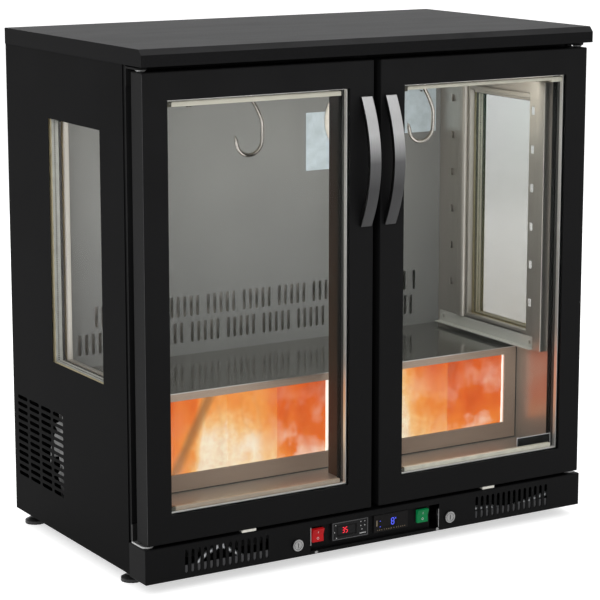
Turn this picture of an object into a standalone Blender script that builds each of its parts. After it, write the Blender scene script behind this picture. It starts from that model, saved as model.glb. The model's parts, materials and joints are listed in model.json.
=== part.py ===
"""Two-door dry aging cabinet with glass doors, side windows and a lit salt wall.

X runs to the right, Y to the back, Z up. The origin is on the floor, under the middle of the cabinet.
Heights are built up from the floor or down from the worktop, depths from the front of the body or
from the back, and widths from the sides, so that the pieces follow the overall sizes.
"""
import bpy
import bmesh
from math import pi, sin, cos, radians
from mathutils import Matrix, Vector

mm = 0.001

# Overall
cabinet_width = 900 * mm
cabinet_depth = 520 * mm           # worktop, front edge to back edge
cabinet_height = 900 * mm
seat_gap = 0.3 * mm                # clearance between pieces that touch
cut_over = 6 * mm                  # how far a cutter runs past what it cuts
sink_in = 1 * mm                   # how far joined shapes reach into each other
half_width = cabinet_width / 2
back = cabinet_depth / 2
front = -back

# Worktop
worktop_thickness = 28 * mm
worktop_bevel_depth = 8.4 * mm
worktop_bevel_height = 9 * mm
worktop_bottom = cabinet_height - worktop_thickness

# Sheet metal shell
shell_inset = 1 * mm               # worktop overhang at each side
skin = 1 * mm
side_fold = 14 * mm
body_bottom = 23.5 * mm
base_thickness = 2 * mm
rear_thickness = 1.2 * mm
side_outer = half_width - shell_inset
side_inner = side_outer - skin
body_top = worktop_bottom - seat_gap
shell_rear = back - rear_thickness - seat_gap
base_top = body_bottom + base_thickness

# Base panel: heights from the floor
panel_bottom = 20 * mm
panel_height = 59.7 * mm
panel_wall = 2 * mm
panel_inset = 0.5 * mm
panel_bevel = 1.2 * mm
panel_top = panel_bottom + panel_height
grille_outer_margin = 77.3 * mm    # last slot to the cabinet side
grille_inner_limit = 217 * mm      # no slot nearer to the middle than this
grille_pitch = 11.9 * mm
grille_slot_width = 6 * mm
grille_foot = 9 * mm               # panel bottom to slot
grille_head = 9.7 * mm             # slot to panel top
recess_left = -132 * mm
recess_right = 136 * mm
recess_foot = 5 * mm
recess_head = 10.2 * mm
grille_count = int((half_width - grille_outer_margin - grille_inner_limit) / grille_pitch) + 1
recess_bottom = panel_bottom + recess_foot
recess_top = panel_top - recess_head

# Doors, from the front backwards
door_setback = 8.3 * mm            # door face behind the worktop edge
door_thickness = 38 * mm
door_standoff = 13.7 * mm          # door back to front frame
door_side_inset = 5 * mm
door_foot_gap = 5.5 * mm           # base panel to door
door_head_gap = 9.3 * mm           # door to worktop
door_gap = 14.5 * mm
door_edge_bevel = 1.4 * mm
glass_side_margin = 50.4 * mm      # window edge to cabinet side
glass_centre_margin = 54.8 * mm    # window edge to the middle of the cabinet
glass_foot_margin = 47.6 * mm      # window edge to door bottom
glass_head_margin = 46.1 * mm      # window edge to door top
pane = 4 * mm
pane_cover = 9 * mm                # how far a pane reaches under its frame
front_lip = 3.5 * mm
pane_space = 16 * mm
door_front = front + door_setback
door_back = door_front + door_thickness
door_bottom = panel_top + door_foot_gap
door_top = worktop_bottom - door_head_gap
glass_bottom = door_bottom + glass_foot_margin
glass_top = door_top - glass_head_margin

# Door hinges
pivot_inset = 13 * mm              # hinge pin to the cabinet side
pin_radius = 3.7 * mm
pin_length = 12 * mm
hinge_plate = 3 * mm
hinge_radius = 11 * mm
shoulder_radius = 6.5 * mm
hinge_leg_height = 32 * mm
hinge_leg_width = 9.7 * mm
upper_shoulder = 3.8 * mm          # door top to upper hinge plate
pivot_x = half_width - pivot_inset
pivot_y = (door_front + door_back) / 2
lower_plate_base = panel_top + seat_gap
upper_plate_base = door_top + upper_shoulder

# Door gaskets and handles
gasket_width = 12 * mm
gasket_side_margin = 9 * mm        # door edge to gasket
gasket_end_margin = 10.8 * mm
gasket_groove = 4 * mm
gasket_groove_depth = 5 * mm
handle_offset = 24.5 * mm          # handle centre to the middle of the cabinet
handle_width = 22 * mm
handle_length = 220 * mm
handle_drop = 60.7 * mm            # door top to handle
handle_reach = 34 * mm
handle_thickness = 8 * mm
handle_end = 5 * mm
handle_foot_share = 0.86
handle_points = 14
handle_bevel = 1.2 * mm
handle_top = door_top - handle_drop
handle_bottom = handle_top - handle_length
body_shift = (handle_reach - door_setback) / 2   # brings the middle of the whole depth onto the origin

# Front frame
frame_thickness = 7.7 * mm
frame_inset = 2 * mm
frame_foot_gap = 3.3 * mm          # base panel to front frame
frame_front = door_back + door_standoff
frame_back = frame_front + frame_thickness
frame_bottom = panel_top + frame_foot_gap
body_front = frame_back + seat_gap
fill_half = side_inner - seat_gap
fill_front = body_front + skin + seat_gap
fill_rear = shell_rear - skin - seat_gap

# Centre mullion
mullion_flange = 60 * mm
mullion_web = 30 * mm
mullion_depth = 70 * mm

# Salt housing
side_wall = 30 * mm
floor_top = 117 * mm
salt_setback = 99 * mm             # body front to salt housing
plate_top = 293 * mm               # salt housing top
plate_thickness = 2 * mm
salt_post = 27.5 * mm
salt_window_foot = 32 * mm
salt_window_head = 14 * mm
salt_side_margin = 15 * mm
salt_foot_cover = 4 * mm
salt_head_cover = 5 * mm
salt_thickness = 22.7 * mm
salt_seam_width = 1.6 * mm
salt_seam_depth = 2.5 * mm
salt_seam_shares = (0.122, 0.251, 0.377, 0.504, 0.677, 0.831)
backlight_thickness = 7 * mm
backlight_air = 0.7 * mm
ledge_thickness = 2 * mm
interior_half = half_width - side_wall
salt_front = body_front + salt_setback
salt_window_bottom = floor_top + salt_window_foot
salt_window_top = plate_top - salt_window_head
salt_wall_half = interior_half - salt_side_margin
salt_bottom = salt_window_bottom - salt_foot_cover
salt_top = salt_window_top + salt_head_cover
salt_back = salt_front + plate_thickness
bricks_front = salt_back + seat_gap
bricks_back = bricks_front + salt_thickness
light_front = bricks_back + seat_gap
light_rear = light_front + backlight_thickness

# Insulated chamber
ceiling_thickness = 50 * mm
rear_wall = 40 * mm
floor_slab = 35 * mm
step_slab = 46.7 * mm
riser_slab = 50 * mm
ceiling = worktop_bottom - ceiling_thickness
chamber_back = back - rear_wall
step_front = light_rear + backlight_air
step_top = plate_top - plate_thickness - seat_gap
duct_top = floor_top - floor_slab
machine_front = step_front + riser_slab
machine_top = step_top - step_slab

# Side windows
window_front_margin = 85 * mm      # body front to window
window_rear_margin = 130 * mm      # window to the back of the chamber
window_foot_margin = 37 * mm       # salt housing top to window
window_head_margin = 115 * mm      # window to worktop
window_right_shift = 36 * mm       # the right window sits this much nearer the door
window_front = body_front + window_front_margin
window_rear = chamber_back - window_rear_margin
window_spans = {"left": (window_front, window_rear),
                "right": (window_front - window_right_shift, window_rear - window_right_shift)}
window_bottom = plate_top + window_foot_margin
window_top = worktop_bottom - window_head_margin

# Side louvres
louvre_columns = 4
louvre_rows = 12
louvre_length = 41 * mm
louvre_width = 7 * mm
louvre_rear_margin = 38 * mm       # middle of the last column to the back
louvre_column_pitch = 49 * mm
louvre_head_margin = 6.6 * mm      # compartment ceiling to the middle of the top row
louvre_row_pitch = 12.9 * mm

# Rear grille
rear_slot_length = 120 * mm
rear_slot_width = 7 * mm
rear_columns = 2
rear_rows = 9
rear_column_pitch = 145 * mm
rear_row_pitch = 17 * mm
rear_grille_rise = 54.5 * mm       # base plate to the lowest slot

# Feet
foot_side_inset = 24 * mm
foot_front_inset = 35.5 * mm
foot_rear_inset = 32 * mm
foot_radius = 19 * mm
foot_pad = 6 * mm
foot_shoulder_radius = 9.5 * mm
foot_shoulder = 11 * mm
foot_stud_radius = 5 * mm
foot_stud_rise = 14.5 * mm         # stud above the base plate
foot_x = half_width - foot_side_inset
foot_front_y = body_front + foot_front_inset
foot_rear_y = back - foot_rear_inset
foot_stud_top = base_top + foot_stud_rise

# Controls: heights down from the top of the recess
control_setback = 8 * mm           # panel face to control plate
control_plate = 1.5 * mm
control_end_pocket = 16 * mm
control_lip_proud = 1 * mm
rocker_red_x = -114.5 * mm
rocker_green_x = 103 * mm
rocker_drop = 17.25 * mm
rocker_half_width = 11.2 * mm
rocker_half_height = 11.6 * mm
rocker_front = 6.5 * mm
rocker_dip = 2.4 * mm
rocker_back = 6 * mm
rocker_waist = 5 * mm
rocker_tilt = 8                    # degrees each side of level
pocket_half_height = 12.75 * mm
pocket_wall = 1.5 * mm
pocket_depth = 8.2 * mm            # pivot to pocket floor
humidity_left = -86.6 * mm
humidity_width = 74.6 * mm
humidity_height = 32.8 * mm
humidity_drop = 1 * mm
temperature_left = 1 * mm
temperature_width = 71 * mm
temperature_height = 31.2 * mm
temperature_drop = 2.5 * mm
humidity_bezel = 5 * mm
temperature_bezel = 3 * mm
controller_margin = 2.5 * mm       # bezel overlap round the body
controller_body = 34 * mm
display_depth = 0.8 * mm
display_side_share = 0.16
display_width_share = 0.5
display_low_share = 0.24
display_height_share = 0.5
rocker_z = recess_top - rocker_drop

# Cam locks
lock_x = 158 * mm
lock_rise = 22 * mm                # panel bottom to lock
lock_face_radius = 10.2 * mm
lock_face_proud = 3 * mm
lock_barrel_radius = 8.7 * mm
lock_barrel_length = 20 * mm
cam_length = 27 * mm
cam_width = 11 * mm
cam_thickness = 2 * mm
key_slot_length = 9 * mm
key_slot_width = 1.8 * mm
key_slot_depth = 1.6 * mm
lock_z = panel_bottom + lock_rise

# Back of the chamber
evaporator_space = 57 * mm         # cover to the back of the chamber
cover_thickness = 1.2 * mm
cover_slot_width = 6.4 * mm
cover_slot_height = 39 * mm
cover_row_rise = 22 * mm           # salt housing top to the lower row
cover_row_pitch = 49 * mm
cover_rows = 2
cover_slot_pitch = 13.5 * mm
cover_group = 5
cover_group_gap = 9 * mm
cover_row_shift = 34 * mm
cover_slot_edge = 55 * mm
coil_left = -320 * mm
coil_right = 40 * mm
coil_setback = 11 * mm             # cover to coil
coil_drop = 182 * mm               # ceiling to coil
coil_height = 180 * mm
coil_fins = 14
coil_fin_gap_share = 0.6
coil_groove = 30 * mm
evaporator_fan_x = 150 * mm
evaporator_fan_radius = 80 * mm
motor_radius = 24 * mm
motor_length = 14 * mm
motor_arm_height = 20 * mm
motor_arm_depth = 6 * mm
sensor_left = 160 * mm
sensor_width = 46 * mm
sensor_drop = 132 * mm             # ceiling to the bottom of the sensor cover
sensor_height = 55 * mm
sensor_depth = 18 * mm
sensor_bevel = 5 * mm
cover_front = chamber_back - evaporator_space
coil_front = cover_front + coil_setback
coil_top = ceiling - coil_drop
coil_bottom = coil_top - coil_height
evaporator_fan_z = (coil_bottom + coil_top) / 2
sensor_bottom = ceiling - sensor_drop

# Pilasters and shelf runners
pilaster_depth = 10 * mm
pilaster_sheet = 1 * mm
pilaster_rib_depth = 17 * mm       # the front pilaster's rib stands further in
pilaster_rib_setback = 6 * mm      # body front to rib
pilaster_rib_width = 25 * mm
pilaster_front_width = 48 * mm     # rib and slotted face together
pilaster_rear_width = 28 * mm
pilaster_rear_margin = 43 * mm     # evaporator cover to rear pilaster
pilaster_rear_rib_width = 22 * mm  # the right rear pilaster has a rib too
pilaster_rear_rib_lead = 9 * mm    # that rib to the slotted face
pilaster_head = 26 * mm            # ceiling to pilaster
pilaster_front_rise = 7 * mm       # salt housing top to front pilaster
pilaster_slot_head = 55 * mm
pilaster_slot_foot = 92 * mm       # salt housing top to the lowest slot
pilaster_slots = 6
pilaster_slot_width = 7 * mm
pilaster_slot_height = 12.5 * mm
runner_rear_margin = 22 * mm       # evaporator cover to runner
runner_rise = 7 * mm               # salt housing top to runner
runner_height = 22 * mm
runner_sheet = 1.5 * mm
runner_lip = 14 * mm
runner_hole = 7 * mm
runner_hole_inset = 12 * mm
pilaster_rib_front = body_front + pilaster_rib_setback
pilaster_rib_rear = pilaster_rib_front + pilaster_rib_width
pilaster_front_rear = pilaster_rib_front + pilaster_front_width
pilaster_rear_front = cover_front - pilaster_rear_margin - pilaster_rear_width
pilaster_rear_rib_rear = pilaster_rear_front - pilaster_rear_rib_lead
pilaster_rear_rib_front = pilaster_rear_rib_rear - pilaster_rear_rib_width
pilaster_top = ceiling - pilaster_head
pilaster_slot_top = pilaster_top - pilaster_slot_head
pilaster_slot_low = plate_top + pilaster_slot_foot
pilaster_slot_pitch = (pilaster_slot_top - pilaster_slot_low) / (pilaster_slots - 1)
runner_front = pilaster_rib_rear + seat_gap
runner_rear = cover_front - runner_rear_margin
runner_bottom = plate_top + runner_rise
runner_top = runner_bottom + runner_height

# Rail, hooks and lamps
rail_setback = 142 * mm            # body front to rail
rail_drop = 22 * mm                # ceiling to rail
rail_radius = 7 * mm
rail_flange_radius = 15 * mm
rail_flange = 3 * mm
hook_wire = 3.5 * mm               # wire radius
hook_left_x = -133 * mm
hook_right_x = 227 * mm
hook_drop = 113 * mm
hook_bend = 26 * mm
hook_lead = 14 * mm
hook_tip = 10 * mm
hook_slope_share = 0.45
hook_tuck_share = 0.9             # how far the shank stays behind the rail
lamp_near = 25 * mm
lamp_side_margin = 22 * mm
lamp_setback = 4 * mm              # body front to lamp
lamp_depth = 14 * mm
lamp_height = 14 * mm
lamp_nose = 5 * mm
rail_y = body_front + rail_setback
rail_z = ceiling - rail_drop
lamp_far = interior_half - lamp_side_margin
lamp_front = body_front + lamp_setback
lamp_bottom = ceiling - lamp_height

# Machine compartment
compressor_x = 215 * mm
compressor_radius = 74 * mm
compressor_height = 168 * mm
compressor_seam = 5 * mm
compressor_stand = 14 * mm
compressor_foot_half = 88 * mm
compressor_foot_depth = 52 * mm
compressor_foot_thickness = 4 * mm
compressor_dome_share = 0.5
compressor_base_share = 0.3
condenser_side_margin = 50 * mm    # side panel to condenser
condenser_width = 52 * mm
condenser_front_margin = 32 * mm   # compartment front to condenser
condenser_rear_margin = 82 * mm
condenser_head = 8 * mm
condenser_fins = 12
condenser_groove = 15 * mm
condenser_fan_drop = 94 * mm       # compartment ceiling to fan axis
condenser_fan_radius = 68 * mm
condenser_motor = 12 * mm
fan_hub_radius = 17 * mm
fan_hub_depth = 18 * mm
fan_blade_sheet = 1.5 * mm
fan_blade_rise = 7 * mm
fan_blades = 5
fan_flatten_share = 0.35         # how much flatter a blade is at its tip
compressor_y = (machine_front + back) / 2
condenser_left = condenser_side_margin - side_inner
condenser_right = condenser_left + condenser_width
condenser_front = machine_front + condenser_front_margin
condenser_rear = back - condenser_rear_margin
condenser_top = machine_top - condenser_head
condenser_fan_y = (condenser_front + condenser_rear) / 2
condenser_fan_z = machine_top - condenser_fan_drop

for old in list(bpy.data.objects):
    bpy.data.objects.remove(old, do_unlink=True)
parts = bpy.data.collections.new("dry_aging_cabinet")
tools = bpy.data.collections.new("cutters")
for group in (parts, tools):
    bpy.context.scene.collection.children.link(group)

places = {}


def pivot(name, at, parent=None):
    empty = bpy.data.objects.new(name, None)
    parts.objects.link(empty)
    places[name] = Vector(at)
    if parent:
        empty.parent = parent
        empty.location = places[name] - places[parent.name]
    return empty


origin = bpy.data.objects.new("cabinet_origin", None)
parts.objects.link(origin)
places[origin.name] = Vector((0, 0, 0))
origin.location = (0, body_shift, 0)


def material(name, color, roughness, metallic=0, transmission=0):
    mat = bpy.data.materials.new(name)
    mat.use_nodes = True
    shader = mat.node_tree.nodes["Principled BSDF"]
    shader.inputs["Base Color"].default_value = (*color, 1)
    shader.inputs["Roughness"].default_value = roughness
    shader.inputs["Metallic"].default_value = metallic
    shader.inputs["Transmission Weight"].default_value = transmission
    return mat


black_paint = material("black_paint", (0.012, 0.012, 0.012), 0.45)
worktop_black = material("worktop_black", (0.08, 0.08, 0.085), 0.5)
stainless = material("stainless", (0.45, 0.43, 0.4), 0.25, 1)
liner_steel = material("liner_steel", (0.3, 0.3, 0.28), 0.3, 1)
cover_grey = material("cover_grey", (0.22, 0.24, 0.22), 0.5)
foam = material("foam", (0.75, 0.68, 0.45), 0.9)
glass = material("glass", (0.9, 0.95, 0.93), 0.02, 0, 1)
rubber = material("rubber", (0.01, 0.01, 0.01), 0.7)
brushed = material("brushed", (0.3, 0.3, 0.3), 0.35, 1)
salt = material("salt", (0.9, 0.45, 0.2), 0.5)
lamp_white = material("lamp_white", (0.9, 0.9, 0.85), 0.4)
plastic = material("plastic", (0.02, 0.02, 0.02), 0.4)
grey_plastic = material("grey_plastic", (0.12, 0.12, 0.12), 0.4)
red_plastic = material("red_plastic", (0.7, 0.01, 0.01), 0.3)
green_plastic = material("green_plastic", (0.01, 0.35, 0.1), 0.3)
chrome = material("chrome", (0.6, 0.6, 0.6), 0.2, 1)
zinc = material("zinc", (0.55, 0.55, 0.55), 0.4, 1)
aluminium = material("aluminium", (0.6, 0.6, 0.6), 0.4, 1)
mullion_brown = material("mullion_brown", (0.03, 0.025, 0.02), 0.5)


def place(name, bm, mat, at, parent=None, group=None):
    """Put a mesh drawn in cabinet coordinates into an object whose origin is at the given point."""
    parent = parent or origin
    bmesh.ops.translate(bm, verts=bm.verts, vec=-Vector(at))
    bmesh.ops.recalc_face_normals(bm, faces=bm.faces)
    mesh = bpy.data.meshes.new(name)
    bm.to_mesh(mesh)
    bm.free()
    obj = bpy.data.objects.new(name, mesh)
    (group or parts).objects.link(obj)
    obj.parent = parent
    places[name] = Vector(at)
    obj.location = places[name] - places[parent.name]
    if mat:
        mesh.materials.append(mat)
    return obj


def middle(bm):
    lows = [min(v.co[i] for v in bm.verts) for i in range(3)]
    highs = [max(v.co[i] for v in bm.verts) for i in range(3)]
    return Vector([(a + b) / 2 for a, b in zip(lows, highs)])


def box_into(bm, x, y, z):
    spans = (x, y, z)
    made = bmesh.ops.create_cube(bm, size=1)["verts"]
    bmesh.ops.scale(bm, verts=made, vec=[high - low for low, high in spans])
    bmesh.ops.translate(bm, verts=made, vec=[(high + low) / 2 for low, high in spans])
    return bm


def prism_into(bm, outline, low, high, axis):
    """Extrude an outline along an axis; its points are given in the two other axes, in order."""
    others = [i for i in range(3) if i != axis]
    made = []
    for a, b in outline:
        point = [0, 0, 0]
        point[others[0]], point[others[1]], point[axis] = a, b, low
        made.append(bm.verts.new(point))
    face = bm.faces.new(made)
    grown = bmesh.ops.extrude_face_region(bm, geom=[face])["geom"]
    shift = [0, 0, 0]
    shift[axis] = high - low
    bmesh.ops.translate(bm, verts=[g for g in grown if isinstance(g, bmesh.types.BMVert)], vec=shift)
    return bm


def cylinder_into(bm, radius, low, high, axis, centre, segments=24):
    turn = (Matrix.Rotation(pi / 2, 3, "Y"), Matrix.Rotation(pi / 2, 3, "X"), Matrix.Identity(3))[axis]
    made = bmesh.ops.create_cone(bm, cap_ends=True, segments=segments, radius1=radius, radius2=radius,
                                 depth=high - low)["verts"]
    bmesh.ops.rotate(bm, verts=made, cent=(0, 0, 0), matrix=turn)
    spot = list(centre)
    spot.insert(axis, (high + low) / 2)
    bmesh.ops.translate(bm, verts=made, vec=spot)
    return bm


def box(name, x, y, z, mat, parent=None):
    bm = box_into(bmesh.new(), x, y, z)
    return place(name, bm, mat, middle(bm), parent)


def prism(name, outline, low, high, axis, mat, parent=None, at=None):
    bm = prism_into(bmesh.new(), outline, low, high, axis)
    return place(name, bm, mat, at or middle(bm), parent)


def tool(name, bm, parent=None):
    obj = place(name, bm, None, (0, 0, 0), parent, tools)
    obj.hide_render = True
    obj.display_type = "WIRE"
    return obj


def combine(obj, other, operation):
    mod = obj.modifiers.new(other.name, "BOOLEAN")
    mod.operation = operation
    mod.solver = "EXACT"
    mod.object = other
    return mod


def cut(obj, name, bm, parent=None):
    return combine(obj, tool(name, bm, parent), "DIFFERENCE")


def weld_on(obj, name, bm, parent=None):
    return combine(obj, tool(name, bm, parent), "UNION")


def bevel(obj, width, segments=2):
    mod = obj.modifiers.new("bevel", "BEVEL")
    mod.width = width
    mod.segments = segments
    mod.limit_method = "ANGLE"
    mod.angle_limit = radians(50)
    return mod


def smooth(obj, angle=35):
    obj.data.shade_smooth()
    obj.data.set_sharp_from_angle(angle=radians(angle))
    return obj


def slot(across, along, half_across, half_along, segments=2):
    """Outline of a round-ended slot, longer in its second coordinate."""
    straight = half_along - half_across
    ends = []
    for side in (1, -1):
        for i in range(segments + 1):
            turn = pi * i / segments
            ends.append((across + side * half_across * cos(turn),
                         along + side * (straight + half_across * sin(turn))))
    return ends


def flipped(outline):
    return [(b, a) for a, b in outline]


def turned(name, profile, mat, at, parent=None, steps=24, rotation=(0, 0, 0), group=None):
    """A turned piece: the profile is radius and height, from the top down, spun about Z."""
    bm = bmesh.new()
    ring = [bm.verts.new((r, 0, z)) for r, z in profile]
    for a, b in zip(ring, ring[1:]):
        bm.edges.new((a, b))
    mesh = bpy.data.meshes.new(name)
    bm.to_mesh(mesh)
    bm.free()
    obj = bpy.data.objects.new(name, mesh)
    (group or parts).objects.link(obj)
    if mat:
        mesh.materials.append(mat)
    spin = obj.modifiers.new("spin", "SCREW")
    spin.steps = spin.render_steps = steps
    spin.use_merge_vertices = True
    spin.merge_threshold = 0.00001
    spin.use_smooth_shade = True
    parent = parent or origin
    obj.parent = parent
    places[name] = Vector(at)
    obj.location = places[name] - places[parent.name]
    obj.rotation_euler = rotation
    return obj


# Worktop
prism("worktop", [(front, worktop_bottom), (front, cabinet_height - worktop_bevel_height),
                  (front + worktop_bevel_depth, cabinet_height), (back, cabinet_height),
                  (back, worktop_bottom)], -half_width, half_width, 0, worktop_black)

# Outer side panels: a folded sheet with a window opening; the left one has louvres by the machine fan
for word, side in (("left", -1), ("right", 1)):
    fold_x = side_outer - side_fold
    channel = [(side_outer, body_front), (side_outer, shell_rear), (fold_x, shell_rear),
               (fold_x, shell_rear - skin), (side_inner, shell_rear - skin),
               (side_inner, body_front + skin), (fold_x, body_front + skin), (fold_x, body_front)]
    panel = prism("side_panel_" + word, [(side * x, y) for x, y in channel], body_bottom, body_top, 2,
                  black_paint)
    span = sorted((side * (side_inner - cut_over), side * (side_outer + cut_over)))
    holes = box_into(bmesh.new(), span, window_spans[word], (window_bottom, window_top))
    for column in range(louvre_columns if word == "left" else 0):
        for row in range(louvre_rows):
            prism_into(holes, flipped(slot(machine_top - louvre_head_margin - row * louvre_row_pitch,
                                           back - louvre_rear_margin - column * louvre_column_pitch,
                                           louvre_width / 2, louvre_length / 2, 3)), *span, 0)
    cut(panel, "side_holes_" + word, holes)

# Rear panel with the machine grille
rear = box("rear_panel", (-side_outer, side_outer), (back - rear_thickness, back), (body_bottom, body_top),
           black_paint)
holes = bmesh.new()
for column in range(rear_columns):
    for row in range(rear_rows):
        across = (column - (rear_columns - 1) / 2) * rear_column_pitch
        height = base_top + rear_grille_rise + row * rear_row_pitch
        prism_into(holes, flipped(slot(height, across, rear_slot_width / 2, rear_slot_length / 2, 3)),
                   back - rear_thickness - cut_over, back + cut_over, 1)
cut(rear, "rear_holes", holes)

# Base plate and levelling feet
base = box("base_plate", (-fill_half, fill_half), (fill_front, fill_rear), (body_bottom, base_top), zinc)
holes = bmesh.new()
for x in (-foot_x, foot_x):
    for y in (foot_front_y, foot_rear_y):
        cylinder_into(holes, foot_stud_radius + seat_gap, body_bottom - cut_over, base_top + cut_over, 2, (x, y),
                      16)
cut(base, "foot_holes", holes)
foot_stop = body_bottom - seat_gap
foot_profile = [(0, foot_stud_top), (foot_stud_radius, foot_stud_top), (foot_stud_radius, foot_stop),
                (foot_shoulder_radius, foot_stop), (foot_shoulder_radius, foot_shoulder),
                (foot_radius, foot_pad), (foot_radius, 0), (0, 0)]
for word, x, y in (("front_left", -foot_x, foot_front_y), ("front_right", foot_x, foot_front_y),
                   ("rear_left", -foot_x, foot_rear_y), ("rear_right", foot_x, foot_rear_y)):
    turned("foot_" + word, foot_profile, plastic, (x, y, 0), steps=16)

# Insulation: one foamed body round the chamber, over the duct and the machine compartment
core = prism("insulation", [(fill_front, duct_top), (machine_front, duct_top), (machine_front, machine_top),
                            (fill_rear, machine_top), (fill_rear, body_top), (fill_front, body_top)],
             -fill_half, fill_half, 0, foam)


def chamber_outline(grow, front_y):
    return [(front_y, floor_top - grow), (step_front + grow, floor_top - grow),
            (step_front + grow, step_top - grow), (chamber_back + grow, step_top - grow),
            (chamber_back + grow, ceiling + grow), (front_y, ceiling + grow)]


liner_half = interior_half + skin
cut(core, "foam_void", prism_into(bmesh.new(), chamber_outline(skin + seat_gap, fill_front - cut_over),
                                  -liner_half - seat_gap, liner_half + seat_gap, 0))
pane_z = (window_bottom - pane_cover, window_top + pane_cover)
pocket_z = (pane_z[0] - seat_gap, pane_z[1] + seat_gap)
outer_pane = fill_half - pane
inner_pane = liner_half + seat_gap
for word, side in (("left", -1), ("right", 1)):
    window_y = window_spans[word]
    pane_y = (window_y[0] - pane_cover, window_y[1] + pane_cover)
    pocket_y = (pane_y[0] - seat_gap, pane_y[1] + seat_gap)
    steps_in = (("window_hole_", liner_half - cut_over, side_outer, window_y, (window_bottom, window_top)),
                ("outer_pocket_", outer_pane - seat_gap, side_outer, pocket_y, pocket_z),
                ("inner_pocket_", liner_half - cut_over, inner_pane + pane + seat_gap, pocket_y, pocket_z))
    for label, low, high, y, z in steps_in:
        cut(core, label + word, box_into(bmesh.new(), sorted((side * low, side * high)), y, z))
    box("side_glass_outer_" + word, sorted((side * outer_pane, side * fill_half)), pane_y, pane_z, glass)
    box("side_glass_inner_" + word, sorted((side * inner_pane, side * (inner_pane + pane))), pane_y, pane_z,
        glass)

# Inner liner: a stainless shell with the step over the machine compartment
liner = prism("inner_liner", chamber_outline(skin, body_front), -liner_half, liner_half, 0, liner_steel)
cut(liner, "liner_void", prism_into(bmesh.new(), chamber_outline(0, body_front - cut_over),
                                    -interior_half, interior_half, 0))
for word, side in (("left", -1), ("right", 1)):
    through = sorted((side * (interior_half - cut_over), side * (liner_half + cut_over)))
    cut(liner, "liner_window_" + word, box_into(bmesh.new(), through, window_spans[word],
                                                (window_bottom, window_top)))

# Front frame and the centre mullion
ring = box("front_frame", (-side_outer + frame_inset, side_outer - frame_inset), (frame_front, frame_back),
           (frame_bottom, body_top), black_paint)
cut(ring, "frame_opening", box_into(bmesh.new(), (-interior_half, interior_half),
                                    (frame_front - cut_over, frame_back + cut_over), (floor_top, ceiling)))
half_flange = mullion_flange / 2
half_web = mullion_web / 2
prism("centre_mullion", [(-half_flange, frame_front), (half_flange, frame_front), (half_flange, frame_back),
                         (half_web, frame_back), (half_web, frame_back + mullion_depth),
                         (-half_web, frame_back + mullion_depth), (-half_web, frame_back),
                         (-half_flange, frame_back)], floor_top + seat_gap, ceiling - seat_gap, 2, mullion_brown)

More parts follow.
